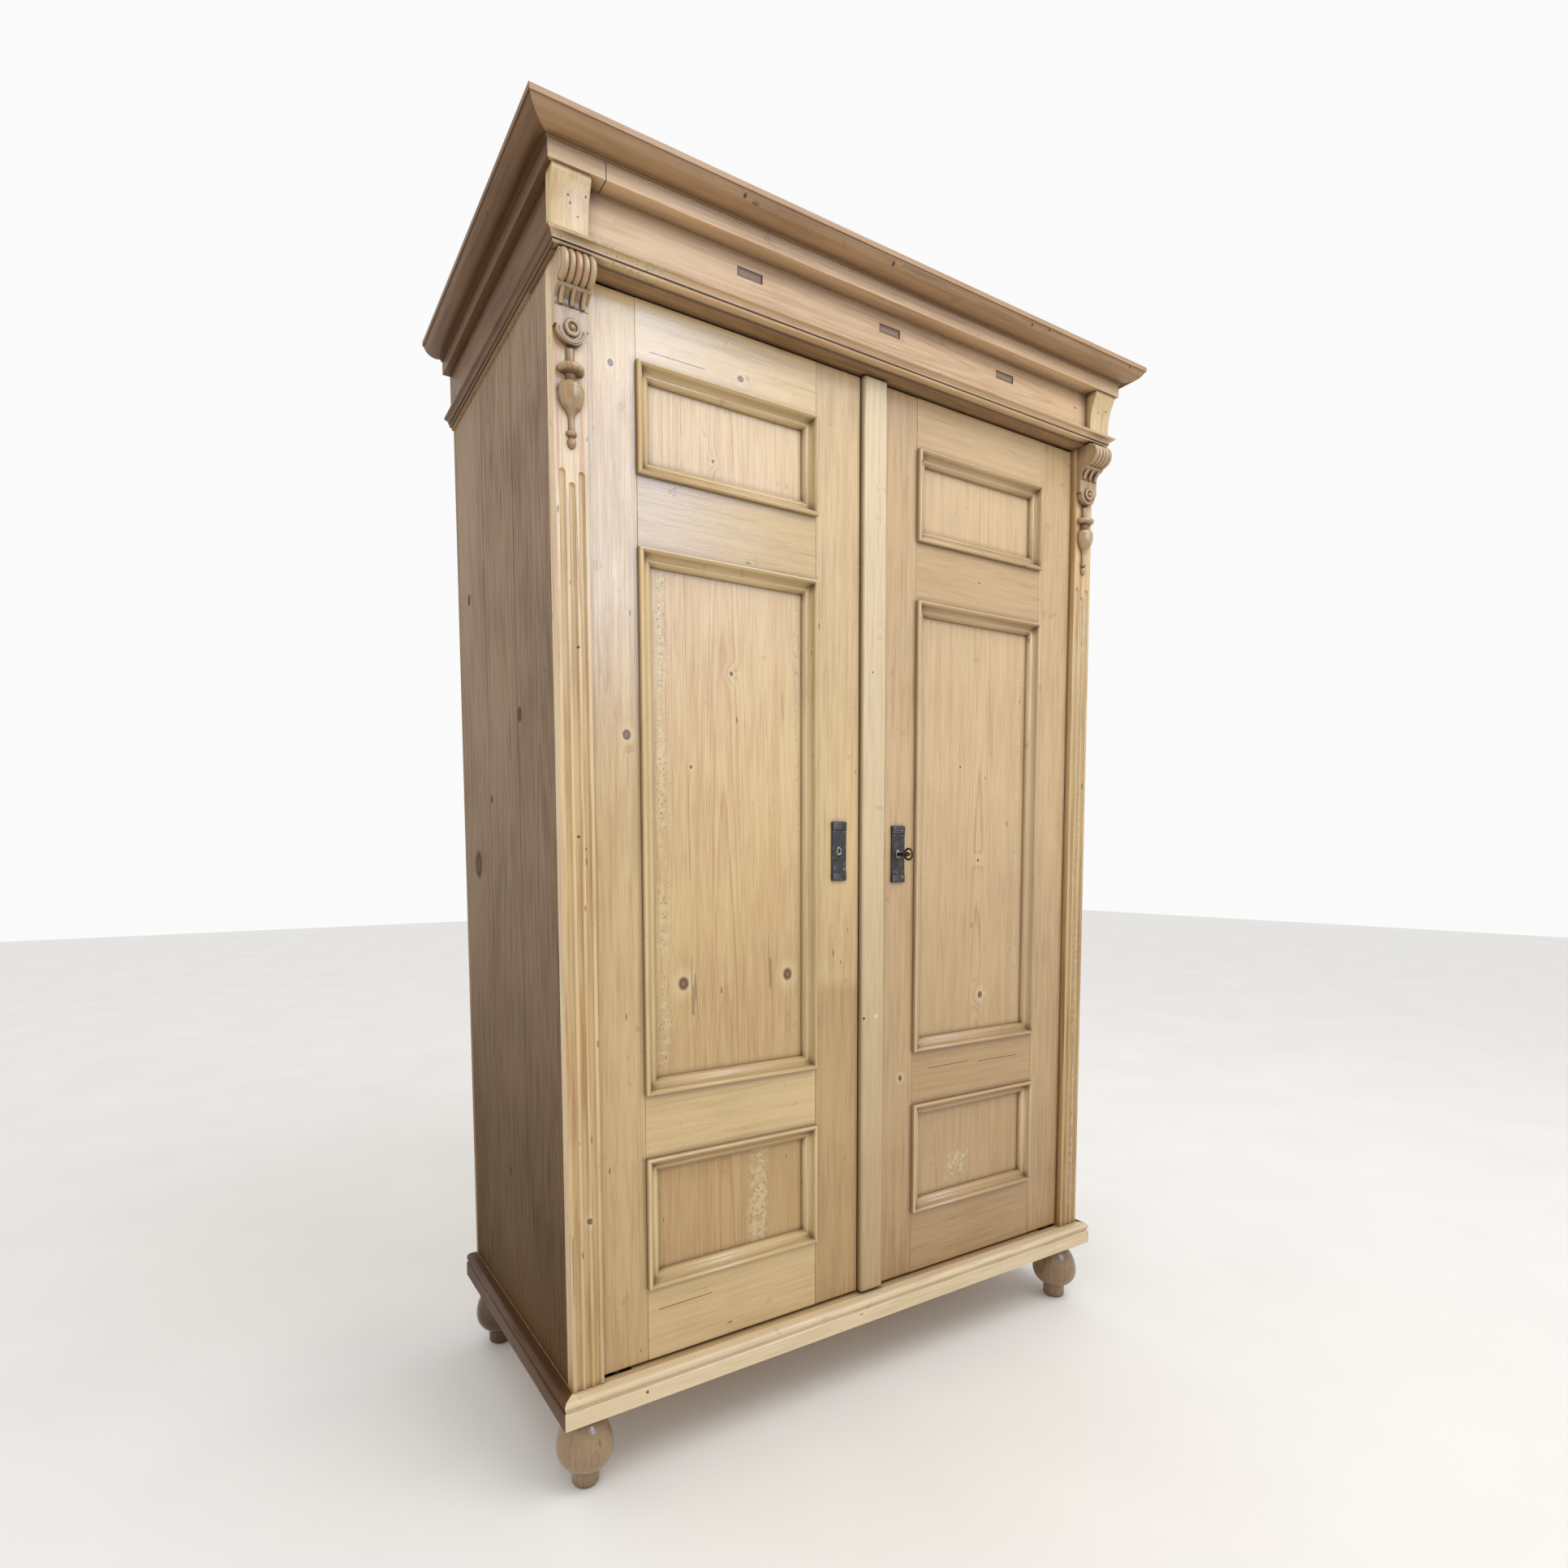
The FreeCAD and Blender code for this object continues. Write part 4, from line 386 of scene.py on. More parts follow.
def finish_material(tree, base, roughness, height, depth, strength, metallic=0.0, shine=0.5):
    """Joins colour, gloss and relief in the surface shader."""
    relief = add(tree, "Bump", named={"Strength": strength, "Distance": depth, "Height": height})
    surface = add(tree, "BsdfPrincipled", named={
        "Base Color": base, "Roughness": roughness, "Metallic": metallic,
        "Specular IOR Level": shine, "Normal": relief})
    add(tree, "OutputMaterial", surface)


def strongest(tree, layers, **settings):
    """The highest of several values at each point."""
    high, *others = layers
    for layer in others:
        high = add(tree, "Math", high, layer, operation="MAXIMUM", **settings)
    return high


def inside(tree, across, along, boxes):
    """How far inside the nearest of some rectangles a point lies, in metres, or less than 0."""
    depths = []
    for middle_across, middle_along, half_across, half_along in boxes:
        gaps = []
        for value, middle, half in ((across, middle_across, half_across),
                                    (along, middle_along, half_along)):
            off = add(tree, "Math", value, middle * MM, operation="SUBTRACT")
            off = add(tree, "Math", off, operation="ABSOLUTE")
            gaps.append(add(tree, "Math", half * MM, off, operation="SUBTRACT"))
        depths.append(add(tree, "Math", *gaps, operation="MINIMUM"))
    return strongest(tree, depths)


def distance_to(tree, across, along, spot_across, spot_along, stretch=1.0):
    """Distance to a spot on the board, shortened along the grain by stretch."""
    spot = add(tree, "CombineXYZ",
               add(tree, "Math", across, spot_across * MM, operation="SUBTRACT"),
               add(tree, "Math", along, stretch, -spot_along * MM * stretch,
                   operation="MULTIPLY_ADD"))
    return add(tree, "VectorMath", spot, operation="LENGTH").node.outputs["Value"]


def pine(name, look, axes, box, count, heart, seed, sticks=False, node=None):
    """Waxed pine: rings of the log cut flat, fibres along the board, knots, and old wax.

    Early wood is pale and late wood dark, so the rings show as long arches. The wax has a soft
    gloss that the fibres break up. Corners are darkened with old wax and painted shade, and some
    boards take painted shade towards the floor. Old finish hangs on in amber streaks, and has
    flaked off in pale patches with dark rims.
    """
    colours = bpy.context.scene.wardrobe_colours
    sizes = bpy.context.scene.wardrobe_sizes
    light, dark = (tuple(getattr(colours, f"{look.wood}_{shade}")) for shade in ("light", "dark"))
    material, tree = new_material(name)
    place = add(tree, "TexCoord").node.outputs["Object"]
    parts = add(tree, "SeparateXYZ", place).node.outputs
    across, through, along = (parts[AXES.index(axis)] for axis in axes)
    sides, faces, ends = ([corner[AXES.index(axis)] for corner in box] for axis in axes)
    width = (sides[1] - sides[0]) / count

    board = add(tree, "Math", add(tree, "Math", across, sides[0], operation="SUBTRACT"), width,
                operation="DIVIDE")
    number = add(tree, "Math", board, operation="FLOOR")
    if sticks:
        chance = add(tree, "Attribute", attribute_name="stick").node.outputs["Fac"]
    else:
        chance = add(tree, "TexWhiteNoise", None,
                     add(tree, "Math", number, seed, operation="ADD"), noise_dimensions="1D")
    middle = add(tree, "Math", number, width, sides[0] + width * heart,
                 operation="MULTIPLY_ADD")
    shift = add(tree, "Math", chance, 7.0, seed, operation="MULTIPLY_ADD")

    # Rings, bent by slow drift in the log and round the knots.
    slow = add(tree, "CombineXYZ", add(tree, "Math", across, shift, operation="ADD"), through,
               add(tree, "Math", along, 0.12, shift, operation="MULTIPLY_ADD"))
    flow = add(tree, "TexNoise", named={"Vector": slow, "Scale": 9.0, "Detail": 1.0,
                                        "Roughness": 0.4})
    side = add(tree, "Math", across, middle, operation="SUBTRACT")
    deep = add(tree, "Math", through, faces[0] - HEART_DEPTH, operation="SUBTRACT")
    radius = add(tree, "VectorMath", add(tree, "CombineXYZ", side, deep), operation="LENGTH")
    radius = add(tree, "Math", along, LOG_TAPER, radius.node.outputs["Value"],
                 operation="MULTIPLY_ADD")
    radius = add(tree, "Math", flow, 0.022, radius, operation="MULTIPLY_ADD")
    knots, halos = [], []
    for *spot, size in KNOTS.get(node, ()):
        away = distance_to(tree, across, along, *spot, 0.85)
        away = add(tree, "Math", flow, size * MM * 0.9, away, operation="MULTIPLY_ADD")
        away = add(tree, "Math", away, size * MM * 1.45, operation="DIVIDE")
        swell = add(tree, "Math", away, away, operation="MULTIPLY")
        swell = add(tree, "Math", math.exp(-0.16), swell, operation="POWER")
        radius = add(tree, "Math", swell, size * MM * 1.6, radius, operation="MULTIPLY_ADD")
        knots.append(add(tree, "ValToRGB", away, stops=[
            (0.0, 0.95), (0.3, 0.76), (0.55, 0.72), (0.72, 1.0), (0.86, 0.6), (1.0, 0.0)]))
        away = add(tree, "Math", away, 0.5, operation="MULTIPLY")
        halos.append(add(tree, "ValToRGB", away, stops=[(0.42, 0.0), (0.54, 0.4), (1.0, 0.0)]))
    years = add(tree, "Math", radius, sizes.ring, operation="DIVIDE")
    season = add(tree, "Math", years, operation="FRACT")
    late = add(tree, "ValToRGB", season, stops=[(0.0, 0.12), (0.12, 0.0), (0.62, 0.22),
                                                (0.9, 1.0), (1.0, 0.12)])
    year = add(tree, "CombineXYZ", add(tree, "Math", years, operation="FLOOR"), shift)
    year = add(tree, "TexNoise", named={"Vector": year, "Scale": 0.71, "Detail": 1.0})
    year = add(tree, "ValToRGB", year, stops=[(0.3, 0.3), (0.7, 1.0)])
    late = add(tree, "Math", late, year, operation="MULTIPLY")

    # Fibres and slow streaks along the grain, and clouds of wear that ignore it.
    layers = {}
    for kind, (squeeze, scale, detail) in THREADS.items():
        threads = add(tree, "CombineXYZ", across, through,
                      add(tree, "Math", along, squeeze, shift, operation="MULTIPLY_ADD"))
        layers[kind] = add(tree, "TexNoise", named={
            "Vector": threads, "Scale": scale / sizes.fibre, "Detail": detail, "Roughness": 0.6})
    fibre = layers["fibre"]
    patina = add(tree, "TexNoise", named={"Vector": place, "Scale": 2.6, "Detail": 3.0,
                                          "Roughness": 0.6})

    weights = ((fibre, 0.42), (layers["streak"], look.stripe), (patina, 0.7), (chance, 0.16))
    level = look.tone - sum(weight for layer, weight in weights) / 2
    tone = add(tree, "Math", late, look.rings, level, operation="MULTIPLY_ADD")
    for layer, weight in weights:
        tone = add(tree, "Math", layer, weight, tone, operation="MULTIPLY_ADD")
    pale = tuple(min(1.0, c * 1.09) for c in light)
    half = tuple((a + b) / 2 for a, b in zip(light, dark))
    base = add(tree, "ValToRGB", tone, stops=[(0.0, pale), (0.28, light), (0.62, half),
                                              (1.0, dark)])
    if look.streaks:
        amber = add(tree, "ValToRGB", layers["amber"], stops=[(0.5, 0.0), (0.66, 1.0)])
        amber = add(tree, "Math", amber, look.streaks, operation="MULTIPLY")
        base = add(tree, "MixRGB", amber, base, (*colours.amber, 1))
    # Painted shade towards the floor: the colour is multiplied darker by height.
    if node in FLOOR_SHADE:
        brown = add(tree, "ValToRGB", add(tree, "Math", parts[2], 2.0, operation="DIVIDE"),
                    stops=[(height / 2000, amount) for height, amount in FLOOR_SHADE[node]])
        base = add(tree, "MixRGB", brown, base, (*getattr(colours, look.tint), 1),
                   blend_type="MULTIPLY")
    if knots and look.knot == "knot":
        base = add(tree, "MixRGB", strongest(tree, halos), base, (*colours.cream, 1))
    if knots:
        base = add(tree, "MixRGB", strongest(tree, knots), base,
                   (*getattr(colours, look.knot), 1))

    # Dark places: painted shade and old wax in corners, dents, worm holes, nicks, cracks, joints
    # and nail holes.
    dents = add(tree, "TexNoise", named={"Vector": place, "Scale": 38.0, "Detail": 2.0})
    dents = add(tree, "ValToRGB", dents, stops=[(0.24, 1.0), (0.3, 0.0)])
    # Painted shade and old wax: ambient occlusion darkens the corners and the places under things.
    corners = add(tree, "AmbientOcclusion", samples=4, named={"Distance": look.reach})
    corners = add(tree, "ValToRGB", corners.node.outputs["AO"], stops=[(0.35, 1.0), (0.95, 0.0)])
    corners = add(tree, "Math", corners, look.dirt_and_shade, operation="MULTIPLY")
    darks = [add(tree, "Math", dents, 0.16, corners, operation="MULTIPLY_ADD")]
    pocks = []
    for squeeze, scale, reach, share, depth in ((1.0, 34.0, 0.028, 0.14, 0.85),
                                                (0.3, 62.0, 0.11, look.nicks, 0.6)):
        cells = add(tree, "CombineXYZ", across, through,
                    add(tree, "Math", along, squeeze, operation="MULTIPLY"))
        cells = add(tree, "TexVoronoi", named={"Scale": scale, "Vector": cells})
        rare = add(tree, "SeparateXYZ", cells.node.outputs["Color"])
        rare = add(tree, "Math", rare, 1 - share, operation="GREATER_THAN")
        near = add(tree, "Math", cells, reach, operation="LESS_THAN")
        pocks.append(add(tree, "Math", near, rare, operation="MULTIPLY"))
        darks.append(add(tree, "Math", pocks[-1], depth, operation="MULTIPLY"))
    crack = add(tree, "Math", layers["split"], 0.5, 0.0022, operation="COMPARE")
    crack = add(tree, "Math", crack, add(tree, "Math", patina, 0.53, operation="GREATER_THAN"),
                operation="MULTIPLY")
    darks.append(add(tree, "Math", crack, look.cracks, operation="MULTIPLY"))
    if node in CRACKS:
        bent = add(tree, "Math", flow, 0.03, across, operation="MULTIPLY_ADD")
        bent = add(tree, "Math", bent, 0.015, operation="SUBTRACT")
        depth = inside(tree, bent, along, [(z, (start + end) / 2, 0.8, (end - start) / 2)
                                           for z, start, end in CRACKS[node]])
        depth = add(tree, "Math", depth, 0.0, operation="GREATER_THAN")
        darks.append(add(tree, "Math", depth, 0.75, operation="MULTIPLY"))
    # End grain, and the outer edges of a row of boards, soak up more wax.
    soaked = [(along, ends)]
    if count > 1:
        gap = add(tree, "Math", board, 0.5, operation="PINGPONG")
        gap = add(tree, "Math", gap, 1.1 * MM / width, operation="LESS_THAN")
        within = add(tree, "Math", board, count / 2, count / 2 - 0.1, operation="COMPARE")
        gap = add(tree, "Math", gap, within, operation="MULTIPLY")
        darks.append(add(tree, "Math", gap, 0.9, operation="MULTIPLY"))
        soaked.append((across, sides))
    for value, (start, end) in soaked:
        core = add(tree, "Math", value, (start + end) / 2, (end - start) / 2 - MM,
                   operation="COMPARE")
        darks.append(add(tree, "Math", core, -0.65, 0.65, operation="MULTIPLY_ADD"))
    if node in JOINTS:
        darks.append(add(tree, "Math", along, JOINTS[node] * MM, 0.8 * MM, operation="COMPARE"))
    for *spot, size in HOLES.get(node, ()):
        away = distance_to(tree, across, along, *spot)
        hole = add(tree, "Math", away, size * MM, operation="DIVIDE")
        darks.append(add(tree, "ValToRGB", hole, stops=[(0.7, 1.0), (1.0, 0.0)]))
    # Painted shade and old wax inside the sunk marks.
    if node in MARKS:
        depth = add(tree, "Math", inside(tree, across, along, MARKS[node]), 50.0, 0.5,
                    operation="MULTIPLY_ADD", use_clamp=True)
        darks.append(add(tree, "ValToRGB", depth, stops=[
            (0.43, 0.0), (0.47, 0.8), (0.56, 0.95), (0.62, 0.72), (0.8, 0.6)]))
    if node in FLAKES:
        patches = [((a + c) / 2, (b + d) / 2, (c - a) / 2, (d - b) / 2)
                   for a, b, c, d in FLAKES[node]]
        edge = add(tree, "Math", inside(tree, across, along, patches), 0.024,
                   operation="DIVIDE", use_clamp=True)
        edge = add(tree, "Math", edge, 0.85, operation="MINIMUM")
        front = add(tree, "Math", through, sum(faces) / 2, operation="LESS_THAN")
        edge = add(tree, "Math", edge, front, operation="MULTIPLY")
        curl = add(tree, "TexNoise", named={"Vector": place, "Scale": 85.0, "Detail": 4.0,
                                            "Roughness": 0.6})
        drift = add(tree, "TexNoise", named={"Vector": place, "Scale": 17.0, "Detail": 1.0})
        curl = add(tree, "Math", add(tree, "Math", drift, 0.4, -0.2, operation="MULTIPLY_ADD"),
                   curl, operation="ADD")
        lifted = add(tree, "Math", edge, 0.24, curl, operation="MULTIPLY_ADD")
        flake = add(tree, "ValToRGB", lifted, stops=[(0.62, 0.0), (0.69, 0.5)])
        rim = add(tree, "ValToRGB", lifted, stops=[(0.675, 0.0), (0.695, 0.6), (0.725, 0.0)])
        specks = add(tree, "TexVoronoi", named={"Vector": place, "Scale": 135.0})
        specks = add(tree, "Math", specks, 0.22, operation="LESS_THAN")
        rim = add(tree, "Math", specks, add(tree, "Math", drift, 0.9, operation="MULTIPLY"),
                  rim, operation="MULTIPLY_ADD")
        flake, rim = (add(tree, "Math", layer, edge, operation="MULTIPLY")
                      for layer in (flake, rim))
        base = add(tree, "MixRGB", flake, base, (*colours.cream, 1))
        darks.append(rim)
    dirt_and_shade = strongest(tree, darks, use_clamp=True)
    base = add(tree, "MixRGB", dirt_and_shade, base, (*colours.wax, 1))

    rough = look.gloss - (FIBRE_GLOSS + PATINA_GLOSS) / 2
    rough = add(tree, "Math", fibre, FIBRE_GLOSS, rough, operation="MULTIPLY_ADD")
    rough = add(tree, "Math", patina, PATINA_GLOSS, rough, operation="MULTIPLY_ADD")
    height = add(tree, "Math", late, 0.35, fibre, operation="MULTIPLY_ADD")
    for layer, weight in ((dents, -1.3), (strongest(tree, pocks), -2.5), (crack, -2.0)):
        height = add(tree, "Math", layer, weight, height, operation="MULTIPLY_ADD")
    finish_material(tree, base, rough, height, 0.5 * MM, look.relief, shine=look.shine)
    return material


def forged(name, dark, worn, gloss, lift=1.0):
    """Blackened forged iron: uneven dark scale, rubbed brighter in places, fine pits.

    dark and worn are the names of its colours, and lift brightens the dark one.
    """
    colours = bpy.context.scene.wardrobe_colours
    material, tree = new_material(name)
    place = add(tree, "TexCoord").node.outputs["Object"]
    cloud = add(tree, "TexNoise", named={"Vector": place, "Scale": 95.0, "Detail": 5.0,
                                         "Roughness": 0.6})
    rubbed = add(tree, "ValToRGB", cloud, stops=[(0.56, 0.0), (0.84, 0.8)])
    rust = add(tree, "TexNoise", named={"Vector": place, "Scale": 160.0, "Detail": 3.0})
    rust = add(tree, "ValToRGB", rust, stops=[(0.58, 0.0), (0.72, 0.7)])
    base = add(tree, "MixRGB", rubbed, (*(c * lift for c in getattr(colours, dark)), 1),
               (*getattr(colours, worn), 1))
    base = add(tree, "MixRGB", rust, base, (*colours.rust, 1))
    pits = add(tree, "TexVoronoi", named={"Vector": place, "Scale": 620.0})
    rough = add(tree, "Math", rubbed, -0.14, gloss, operation="MULTIPLY_ADD")
    rough = add(tree, "Math", rust, 0.25, rough, operation="MULTIPLY_ADD")
    height = add(tree, "Math", pits, 0.6, cloud, operation="MULTIPLY_ADD")
    finish_material(tree, base, rough, height, 0.3 * MM, 0.6, 1.0)
    return material


def ease(piece, width):
    """Rounds the sharp edges of a piece without moving what it fits."""
    weld = piece.modifiers.new("joined", "WELD")
    weld.merge_threshold = 0.02 * MM
    bevel = piece.modifiers.new("eased", "BEVEL")
    bevel.width = width
    bevel.segments = 2
    bevel.limit_method = "ANGLE"
    bevel.angle_limit = math.radians(40)
    bevel.harden_normals = True


def dress(piece, *materials):
    piece.data.materials.clear()
    for material in materials:
        piece.data.materials.append(material)


def select(*pieces):
    """Selects only these pieces, with the first one active."""
    bpy.ops.object.select_all(action="DESELECT")
    for piece in pieces:
        piece.select_set(True)
    bpy.context.view_layer.objects.active = pieces[0]


def settle(piece, name, material, body):
    """Names a new piece, puts its place in its mesh, and lets it ride on its body."""
    select(piece)
    bpy.ops.object.transform_apply(location=True, rotation=True, scale=True)
    piece.name = name
    piece.data.name = name
    dress(piece, material)
    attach(piece, body)
    return piece


def start(kind, **settings):
    """A new primitive, with nothing else selected."""
    bpy.ops.object.select_all(action="DESELECT")
    getattr(bpy.ops.mesh, f"primitive_{kind}_add")(**settings)
    return bpy.context.object


def ring(radius, thickness, segments, sides, place, turn=(math.pi / 2, 0, 0)):
    """A torus, from the radius of its ring and of its section in mm."""
    return start("torus", major_radius=radius * MM, minor_radius=thickness * MM,
                 major_segments=segments, minor_segments=sides, location=place, rotation=turn)


def edit(piece):
    select(piece)
    bpy.ops.object.mode_set(mode="EDIT")
    bpy.ops.mesh.select_all(action="SELECT")


def leave_edit(angle=35):
    """Merges doubles, turns the faces outwards and shades the rounds smooth."""
    bpy.ops.mesh.select_all(action="SELECT")
    bpy.ops.mesh.remove_doubles(threshold=0.001 * MM)
    bpy.ops.mesh.normals_make_consistent(inside=False)
    bpy.ops.object.mode_set(mode="OBJECT")
    bpy.ops.object.shade_smooth_by_angle(angle=math.radians(angle))


def extrude(move, size, **about):
    """Extrudes what is selected, and resizes the new end."""
    bpy.ops.mesh.extrude_region_move(TRANSFORM_OT_translate={"value": move})
    bpy.ops.transform.resize(value=size, **about)


def turned(corners, segments):
    """A turning about Z, drawn up ring by ring from radius and height in mm."""
    radius, height = corners[0]
    piece = start("circle", vertices=segments, radius=radius * MM, fill_type="NGON",
                  location=(0, 0, height * MM))
    bpy.ops.object.mode_set(mode="EDIT")
    for (near, near_height), (far, far_height) in zip(corners, corners[1:]):
        extrude((0, 0, (far_height - near_height) * MM), (far / near, far / near, 1),
                center_override=(0, 0, 0))
    leave_edit()
    return piece


def joined(pieces):
    """Several pieces made one."""
    select(*pieces)
    bpy.ops.object.join()
    return pieces[0]


def copies(master, places):
    """One piece of many copies of the master, each at its own place and turn."""
    made = []
    for matrix in places:
        piece = master.copy()
        piece.data = master.data.copy()
        bpy.context.scene.collection.objects.link(piece)
        piece.matrix_world = matrix @ master.matrix_world
        made.append(piece)
    bpy.data.objects.remove(master)
    bpy.context.view_layer.update()
    return joined(made)


def facing(x, y, z, back=False, roll=0.0):
    """Place in mm of a head that was made looking up, set to look forwards, or backwards."""
    return (Matrix.Translation((x * MM, y * MM, z * MM))
            @ Matrix.Rotation(math.radians(-90 if back else 90), 4, "X")
            @ Matrix.Rotation(math.radians(roll), 4, "Z"))


def pick(piece, wanted):
    """Selects only the faces that are wanted of a piece in edit mode."""
    bpy.ops.mesh.select_mode(type="FACE")
    bpy.ops.mesh.select_all(action="DESELECT")
    mesh = bmesh.from_edit_mesh(piece.data)
    for face in mesh.faces:
        face.select = wanted(face)
    bmesh.update_edit_mesh(piece.data)


def saw(piece, half, depth):
    """Saws a slot across the middle of a piece's top, from its half width and its depth."""
    for side in (-1, 1):
        bpy.ops.mesh.select_all(action="SELECT")
        bpy.ops.mesh.bisect(plane_co=(0, piece.location.y + side * half, 0), plane_no=(0, 1, 0))
    pick(piece, lambda face: face.normal.z > 0.5
         and abs(face.calc_center_median().y) < half * 0.92)
    bpy.ops.mesh.extrude_region_move(TRANSFORM_OT_translate={"value": (0, 0, -depth)})


def screw_head(radius):
    """A domed head with a slot sawn across it."""
    size = radius / MM
    head = turned([(size, -0.4), (size, 0.05), (size * 0.86, 0.4), (size * 0.5, 0.62),
                   (size * 0.04, 0.68)], 24)
    edit(head)
    saw(head, radius * 0.13, 0.5 * MM)
    leave_edit(30)
    return head


def run(face):
    """The axis along which a moulding's face runs, from its longest edge."""
    edge = max(face.edges, key=lambda side: side.calc_length())
    line = edge.verts[1].co - edge.verts[0].co
    return max(range(3), key=lambda axis: abs(line[axis]))


def sticks_of(mesh):
    """The mitred sticks of a mesh, each as its faces that touch and run the same way."""
    known = set()
    for first in mesh.faces:
        if first in known:
            continue
        known.add(first)
        stick = [first]
        for face in stick:
            for edge in face.edges:
                for other in edge.link_faces:
                    if other not in known and run(other) == run(face):
                        known.add(other)
                        stick.append(other)
        yield stick


class WARDROBE_OT_boards(bpy.types.Operator):
    """Finish the boards of the frame, each with its own grain"""

    bl_idname = "wardrobe.boards"
    bl_label = "Boards"

    def execute(self, context):
        sizes = context.scene.wardrobe_sizes
        for number, (node, look, axes, count, heart) in enumerate(BOARDS):
            piece = frame["nodes"][node]
            dress(piece, pine(f"waxed_pine_{node}", LOOKS[look], axes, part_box(node), count,
                              heart, number * 1.37, node=node))
            if not node.startswith("pilaster") and node != "crown_boards":
                ease(piece, sizes.edge)
        # Painted shade: the back feet take the crown's dark wood.
        for names, look, heart in ((FRONT_FEET, "turned", 0.5), (BACK_FEET, "back_foot", 0.5),
                                   (CARVINGS, "carved", 1.6)):
            for number, node in enumerate(names):
                dress(frame["nodes"][node], pine(f"{look}_pine_{node}", LOOKS[look], "xyz",
                                                 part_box(node), 1, heart, number * 2.1,
                                                 node=node))
        return {"FINISHED"}


class WARDROBE_OT_mouldings(bpy.types.Operator):
    """Lay the grain of every moulding along its own length"""

    bl_idname = "wardrobe.mouldings"
    bl_label = "Mouldings"

    def execute(self, context):
        for seed, (node, front) in enumerate(STICKS.items()):
            source = frame["nodes"][node]
            piece = source.copy()
            piece.data = source.data.copy()
            for key in list(piece.keys()):
                del piece[key]
            piece.parent = None
            context.scene.collection.objects.link(piece)
            # Painted shade: faces that run front to back take the crown's dark finish.
            woods = [pine(f"waxed_pine_{node}_{axes[2]}",
                          LOOKS["crown" if axes == "zxy" else front], axes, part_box(node), 1, 1.6,
                          seed * 3.1, sticks=True, node=node if axes == "zyx" else None)
                     for axes in ("zyx", "zxy", "xyz")]
            settle(piece, f"{node}_sticks", woods[0], source["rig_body"])
            dress(piece, *woods)
            mesh = bmesh.new()
            mesh.from_mesh(piece.data)
            bmesh.ops.remove_doubles(mesh, verts=mesh.verts, dist=0.01 * MM)
            tone = mesh.faces.layers.float.new("stick")
            for number, stick in enumerate(sticks_of(mesh)):
                for face in stick:
                    face.material_index = run(face)
                    face[tone] = (number * 0.37 + seed * 0.21) % 1.0
            mesh.to_mesh(piece.data)
            mesh.free()
            edit(piece)
            leave_edit(32)
            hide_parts(node)
        return {"FINISHED"}


class WARDROBE_OT_carving(bpy.types.Operator):
    """Carve the ribs in the consoles' necks and the crescents round the rosettes"""

    bl_idname = "wardrobe.carving"
    bl_label = "Carving"

    def execute(self, context):
        wood = pine("carved_pine_detail", LOOKS["carved"], "xyz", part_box("console_left"), 1, 1.6,
                    4.2)
        for side in ("left", "right"):
            low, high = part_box(f"console_{side}")
            middle = (low.x + high.x) / 2
            ribs = [self.rib(middle + offset * MM) for offset in (-16, 0, 16)]
            y, z = (place * MM for place in ROSETTE)
            crescent = ring(18, 1.9, 64, 12, (middle, y, z))
            edit(crescent)
            bpy.ops.mesh.bisect(plane_co=(middle, y, z - MM), plane_no=(0, 0, 1),
                                use_fill=True, clear_outer=True)
            leave_edit(50)
            settle(joined([*ribs, crescent]), f"console_carving_{side}", wood, "carcase")
        return {"FINISHED"}

    def rib(self, x):
        """A round rib that follows the hollow of the neck downwards."""
        y, z = (place * MM for place in RIB_TOP)
        piece = start("cylinder", vertices=16, radius=3.4 * MM, depth=2 * MM, location=(x, y, z))
        edit(piece)
        pick(piece, lambda face: face.normal.z < -0.9)
        for drop, back, size in RIB_STEPS:
            extrude((0, back * MM, -drop * MM), (size, size, 1))
        leave_edit(50)
        return piece


class WARDROBE_OT_ironwork(bpy.types.Operator):
    """Blacken the iron plates, bolts and lock"""

    bl_idname = "wardrobe.ironwork"
    bl_label = "Ironwork"

    def execute(self, context):
        sizes = context.scene.wardrobe_sizes
        plate = forged("forged_iron_plate", "iron", "worn", 0.5)
        fitting = forged("forged_iron_fittings", "iron", "worn", 0.46)
        for names, material in ((PLATES, plate), (FITTINGS, fitting)):
            for node in names:
                dress(frame["nodes"][node], material)
                if "pivot" not in node and "escutcheon" not in node:
                    ease(frame["nodes"][node], sizes.iron_edge)
        return {"FINISHED"}


